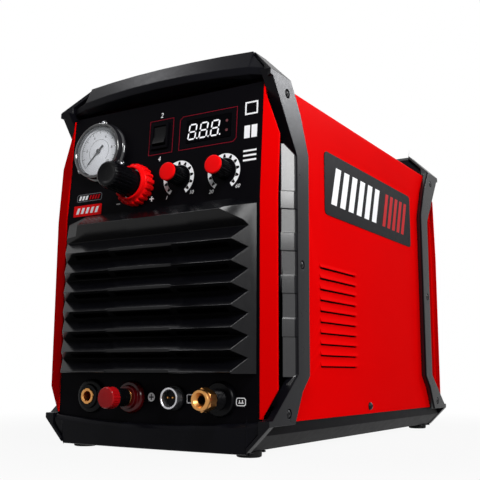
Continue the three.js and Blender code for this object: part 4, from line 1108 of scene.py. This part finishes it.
# %% Cable gland and hose tail
gland_place = spot("cable_gland", rear=True)
nut = turned([(9, 0.3), (15.6, 0.3), (17, 1.1), (17, 6.2), (15.6, 7), (9, 7)], 6, hollow=True)
nut = use(nut, "BEVEL", width=0.5 * MM, segments=2, limit_method="ANGLE")
dome = turned([
    (6.5, 0.6), (14, 0.6), (14, 16.4), (13.4, 19.0), (11.6, 23.6), (10.6, 25.6), (9.8, 26),
    (6.9, 26), (6.5, 25.6),
], 72, hollow=True)
fluted(dome, 13, 15, 8, 0.95, 8, 17)
gland = joined("cable_gland_turned", nut, dome)
fitted(
    gland, "cable_gland_turned", gland_place, black_moulding,
    stands_for=("cable_gland",),
)

inlet_place = spot("air_inlet", rear=True)
tail = [(4, 0.5), (9, 0.5), (9, 17.6), (8.6, 18.4), (6.2, 18.6), (6.2, 22)]
for barb in range(3):
    tail += [(7.4, 22.1 + 7 * barb), (6.2, 28.9 + 7 * barb)]
tail += [(5.6, 46.6), (4.3, 46.6), (4, 46.2)]
hose_tail = turned(tail, 56, hollow=True)
hex_collar = turned([(8, 0.3), (10.8, 0.3), (12, 1), (12, 8.3), (10.8, 9), (8, 9)], 6, hollow=True)
hex_collar = use(hex_collar, "BEVEL", width=0.4 * MM, segments=2, limit_method="ANGLE")
inlet = joined("air_inlet_turned", hose_tail, hex_collar)
fitted(inlet, "air_inlet_turned", inlet_place, turned_brass, stands_for=("air_inlet",))
bpy.data.objects.remove(screw)

# %% [markdown]
# The picture was taken from low down on the right with a short telephoto lens. The camera's
# place, lens and small roll were fitted to the corners of the case, and are written as found.

# %% Camera
AZIMUTH, ELEVATION, ROLL = (math.radians(a) for a in (31.44, -9.44, 0.31))
CAMERA_PLACE = (0.4697, -0.8532, 0.0750)
FOCAL_LENGTH, SENSOR_WIDTH = 59.4, 36.0
ahead = Vector((
    -math.sin(AZIMUTH) * math.cos(ELEVATION), math.cos(AZIMUTH) * math.cos(ELEVATION),
    -math.sin(ELEVATION),
))
level = Vector((math.cos(AZIMUTH), math.sin(AZIMUTH), 0))
above = level.cross(ahead)
right = math.cos(ROLL) * level + math.sin(ROLL) * above
up = math.cos(ROLL) * above - math.sin(ROLL) * level
lens_data = bpy.data.cameras.new("camera")
lens_data.lens = FOCAL_LENGTH
lens_data.sensor_width = SENSOR_WIDTH
camera = bpy.data.objects.new("camera", lens_data)
bpy.context.scene.collection.objects.link(camera)
camera.matrix_world = Matrix.Translation(CAMERA_PLACE) @ Matrix((
    right, up, -ahead,
)).transposed().to_4x4()
bpy.context.scene.camera = camera
print("camera looks along", tuple(round(c, 3) for c in ahead))

# %% [markdown]
# A product picture like this one is lit by a few big soft boxes round a white table. Each box
# here is an area lamp, placed where the gloss of one face should find it: mirror the view ray in
# the face, and that is where its light has to stand.

# %% Soft boxes
def soft_box(name, place, aim, width, height, power, tint=(1, 1, 1)):
    data = bpy.data.lights.new(name, "AREA")
    data.shape = "RECTANGLE"
    data.size, data.size_y, data.energy, data.color = width, height, power, tint
    lamp = bpy.data.objects.new(name, data)
    bpy.context.scene.collection.objects.link(lamp)
    facing = (Vector(aim) - Vector(place)).to_track_quat("-Z", "Y")
    lamp.matrix_world = Matrix.Translation(place) @ facing.to_matrix().to_4x4()
    return lamp


soft_box("right_box", (1.78, -0.88, 0.97), (0.1, -0.15, 0.22), 0.75, 0.75, 29)
soft_box("back_right_box", (1.02, 1.45, 1.25), (0.12, -0.1, 0.3), 0.6, 0.6, 22, (0.96, 0.97, 1.0))
soft_box("corner_box", (0.37, -0.66, 0.66), (0.1, -0.25, 0.2), 0.16, 0.16, 3.4)
soft_box("top_left_box", (-0.94, -0.44, 1.68), (0, -0.25, 0.2), 0.3, 0.3, 5, (0.97, 0.97, 1.0))

# %% World and floor
def background_share(tree):
    path = tree.nodes.new("ShaderNodeLightPath")
    both = tree.nodes.new("ShaderNodeMath")
    both.operation = "MAXIMUM"
    tree.links.new(path.outputs["Is Glossy Ray"], both.inputs[0])
    tree.links.new(path.outputs["Is Transmission Ray"], both.inputs[1])
    every = tree.nodes.new("ShaderNodeMath")
    every.operation = "MAXIMUM"
    tree.links.new(both.outputs[0], every.inputs[0])
    tree.links.new(path.outputs["Is Camera Ray"], every.inputs[1])
    return every.outputs[0]


world = bpy.data.worlds.new("white_room")
world.use_nodes = True
bpy.context.scene.world = world
tree = world.node_tree
strength = tree.nodes.new("ShaderNodeMapRange")
strength.inputs["To Min"].default_value = 0.02
tree.links.new(background_share(tree), strength.inputs["Value"])
tree.links.new(strength.outputs[0], tree.nodes["Background"].inputs["Strength"])
tree.nodes["Background"].inputs["Color"].default_value = (1, 1, 1, 1)


def table_white():
    finish = Finish("white_table", Roughness=0.9, Specular_IOR_Level=0.0)
    cloud = finish.noise(200.0)
    finish.feed(Base_Color=finish.blend(cloud, (0.17, 0.17, 0.17, 1), (0.20, 0.20, 0.20, 1)))
    tree = finish.tree
    glow = tree.nodes.new("ShaderNodeEmission")
    distance = finish.node(
        "ShaderNodeVectorMath", {"operation": "LENGTH"}, {0: finish.place}, "Value"
    )
    fade = finish.node(
        "ShaderNodeMapRange", {"interpolation_type": "SMOOTHSTEP"},
        {"Value": distance, "From Min": 0.25, "From Max": 0.75, "To Min": 0.93, "To Max": 1.0},
    )
    factor = fade * Tone(finish, background_share(tree))
    mix = finish.node("ShaderNodeMixShader", (), {0: factor})
    tree.links.new(finish.shader.outputs[0], mix.socket.node.inputs[1])
    tree.links.new(glow.outputs[0], mix.socket.node.inputs[2])
    tree.links.new(mix.socket, tree.nodes["Material Output"].inputs["Surface"])
    return finish.material


floor = added("circle", vertices=96, radius=6.0, fill_type="NGON")
with editing(floor, "FACE"):
    bpy.ops.mesh.inset(thickness=4.0)
settle(floor, "white_floor")
floor.data.materials.append(table_white())
bpy.context.scene.view_settings.view_transform = "Standard"
print("floor and world ready")
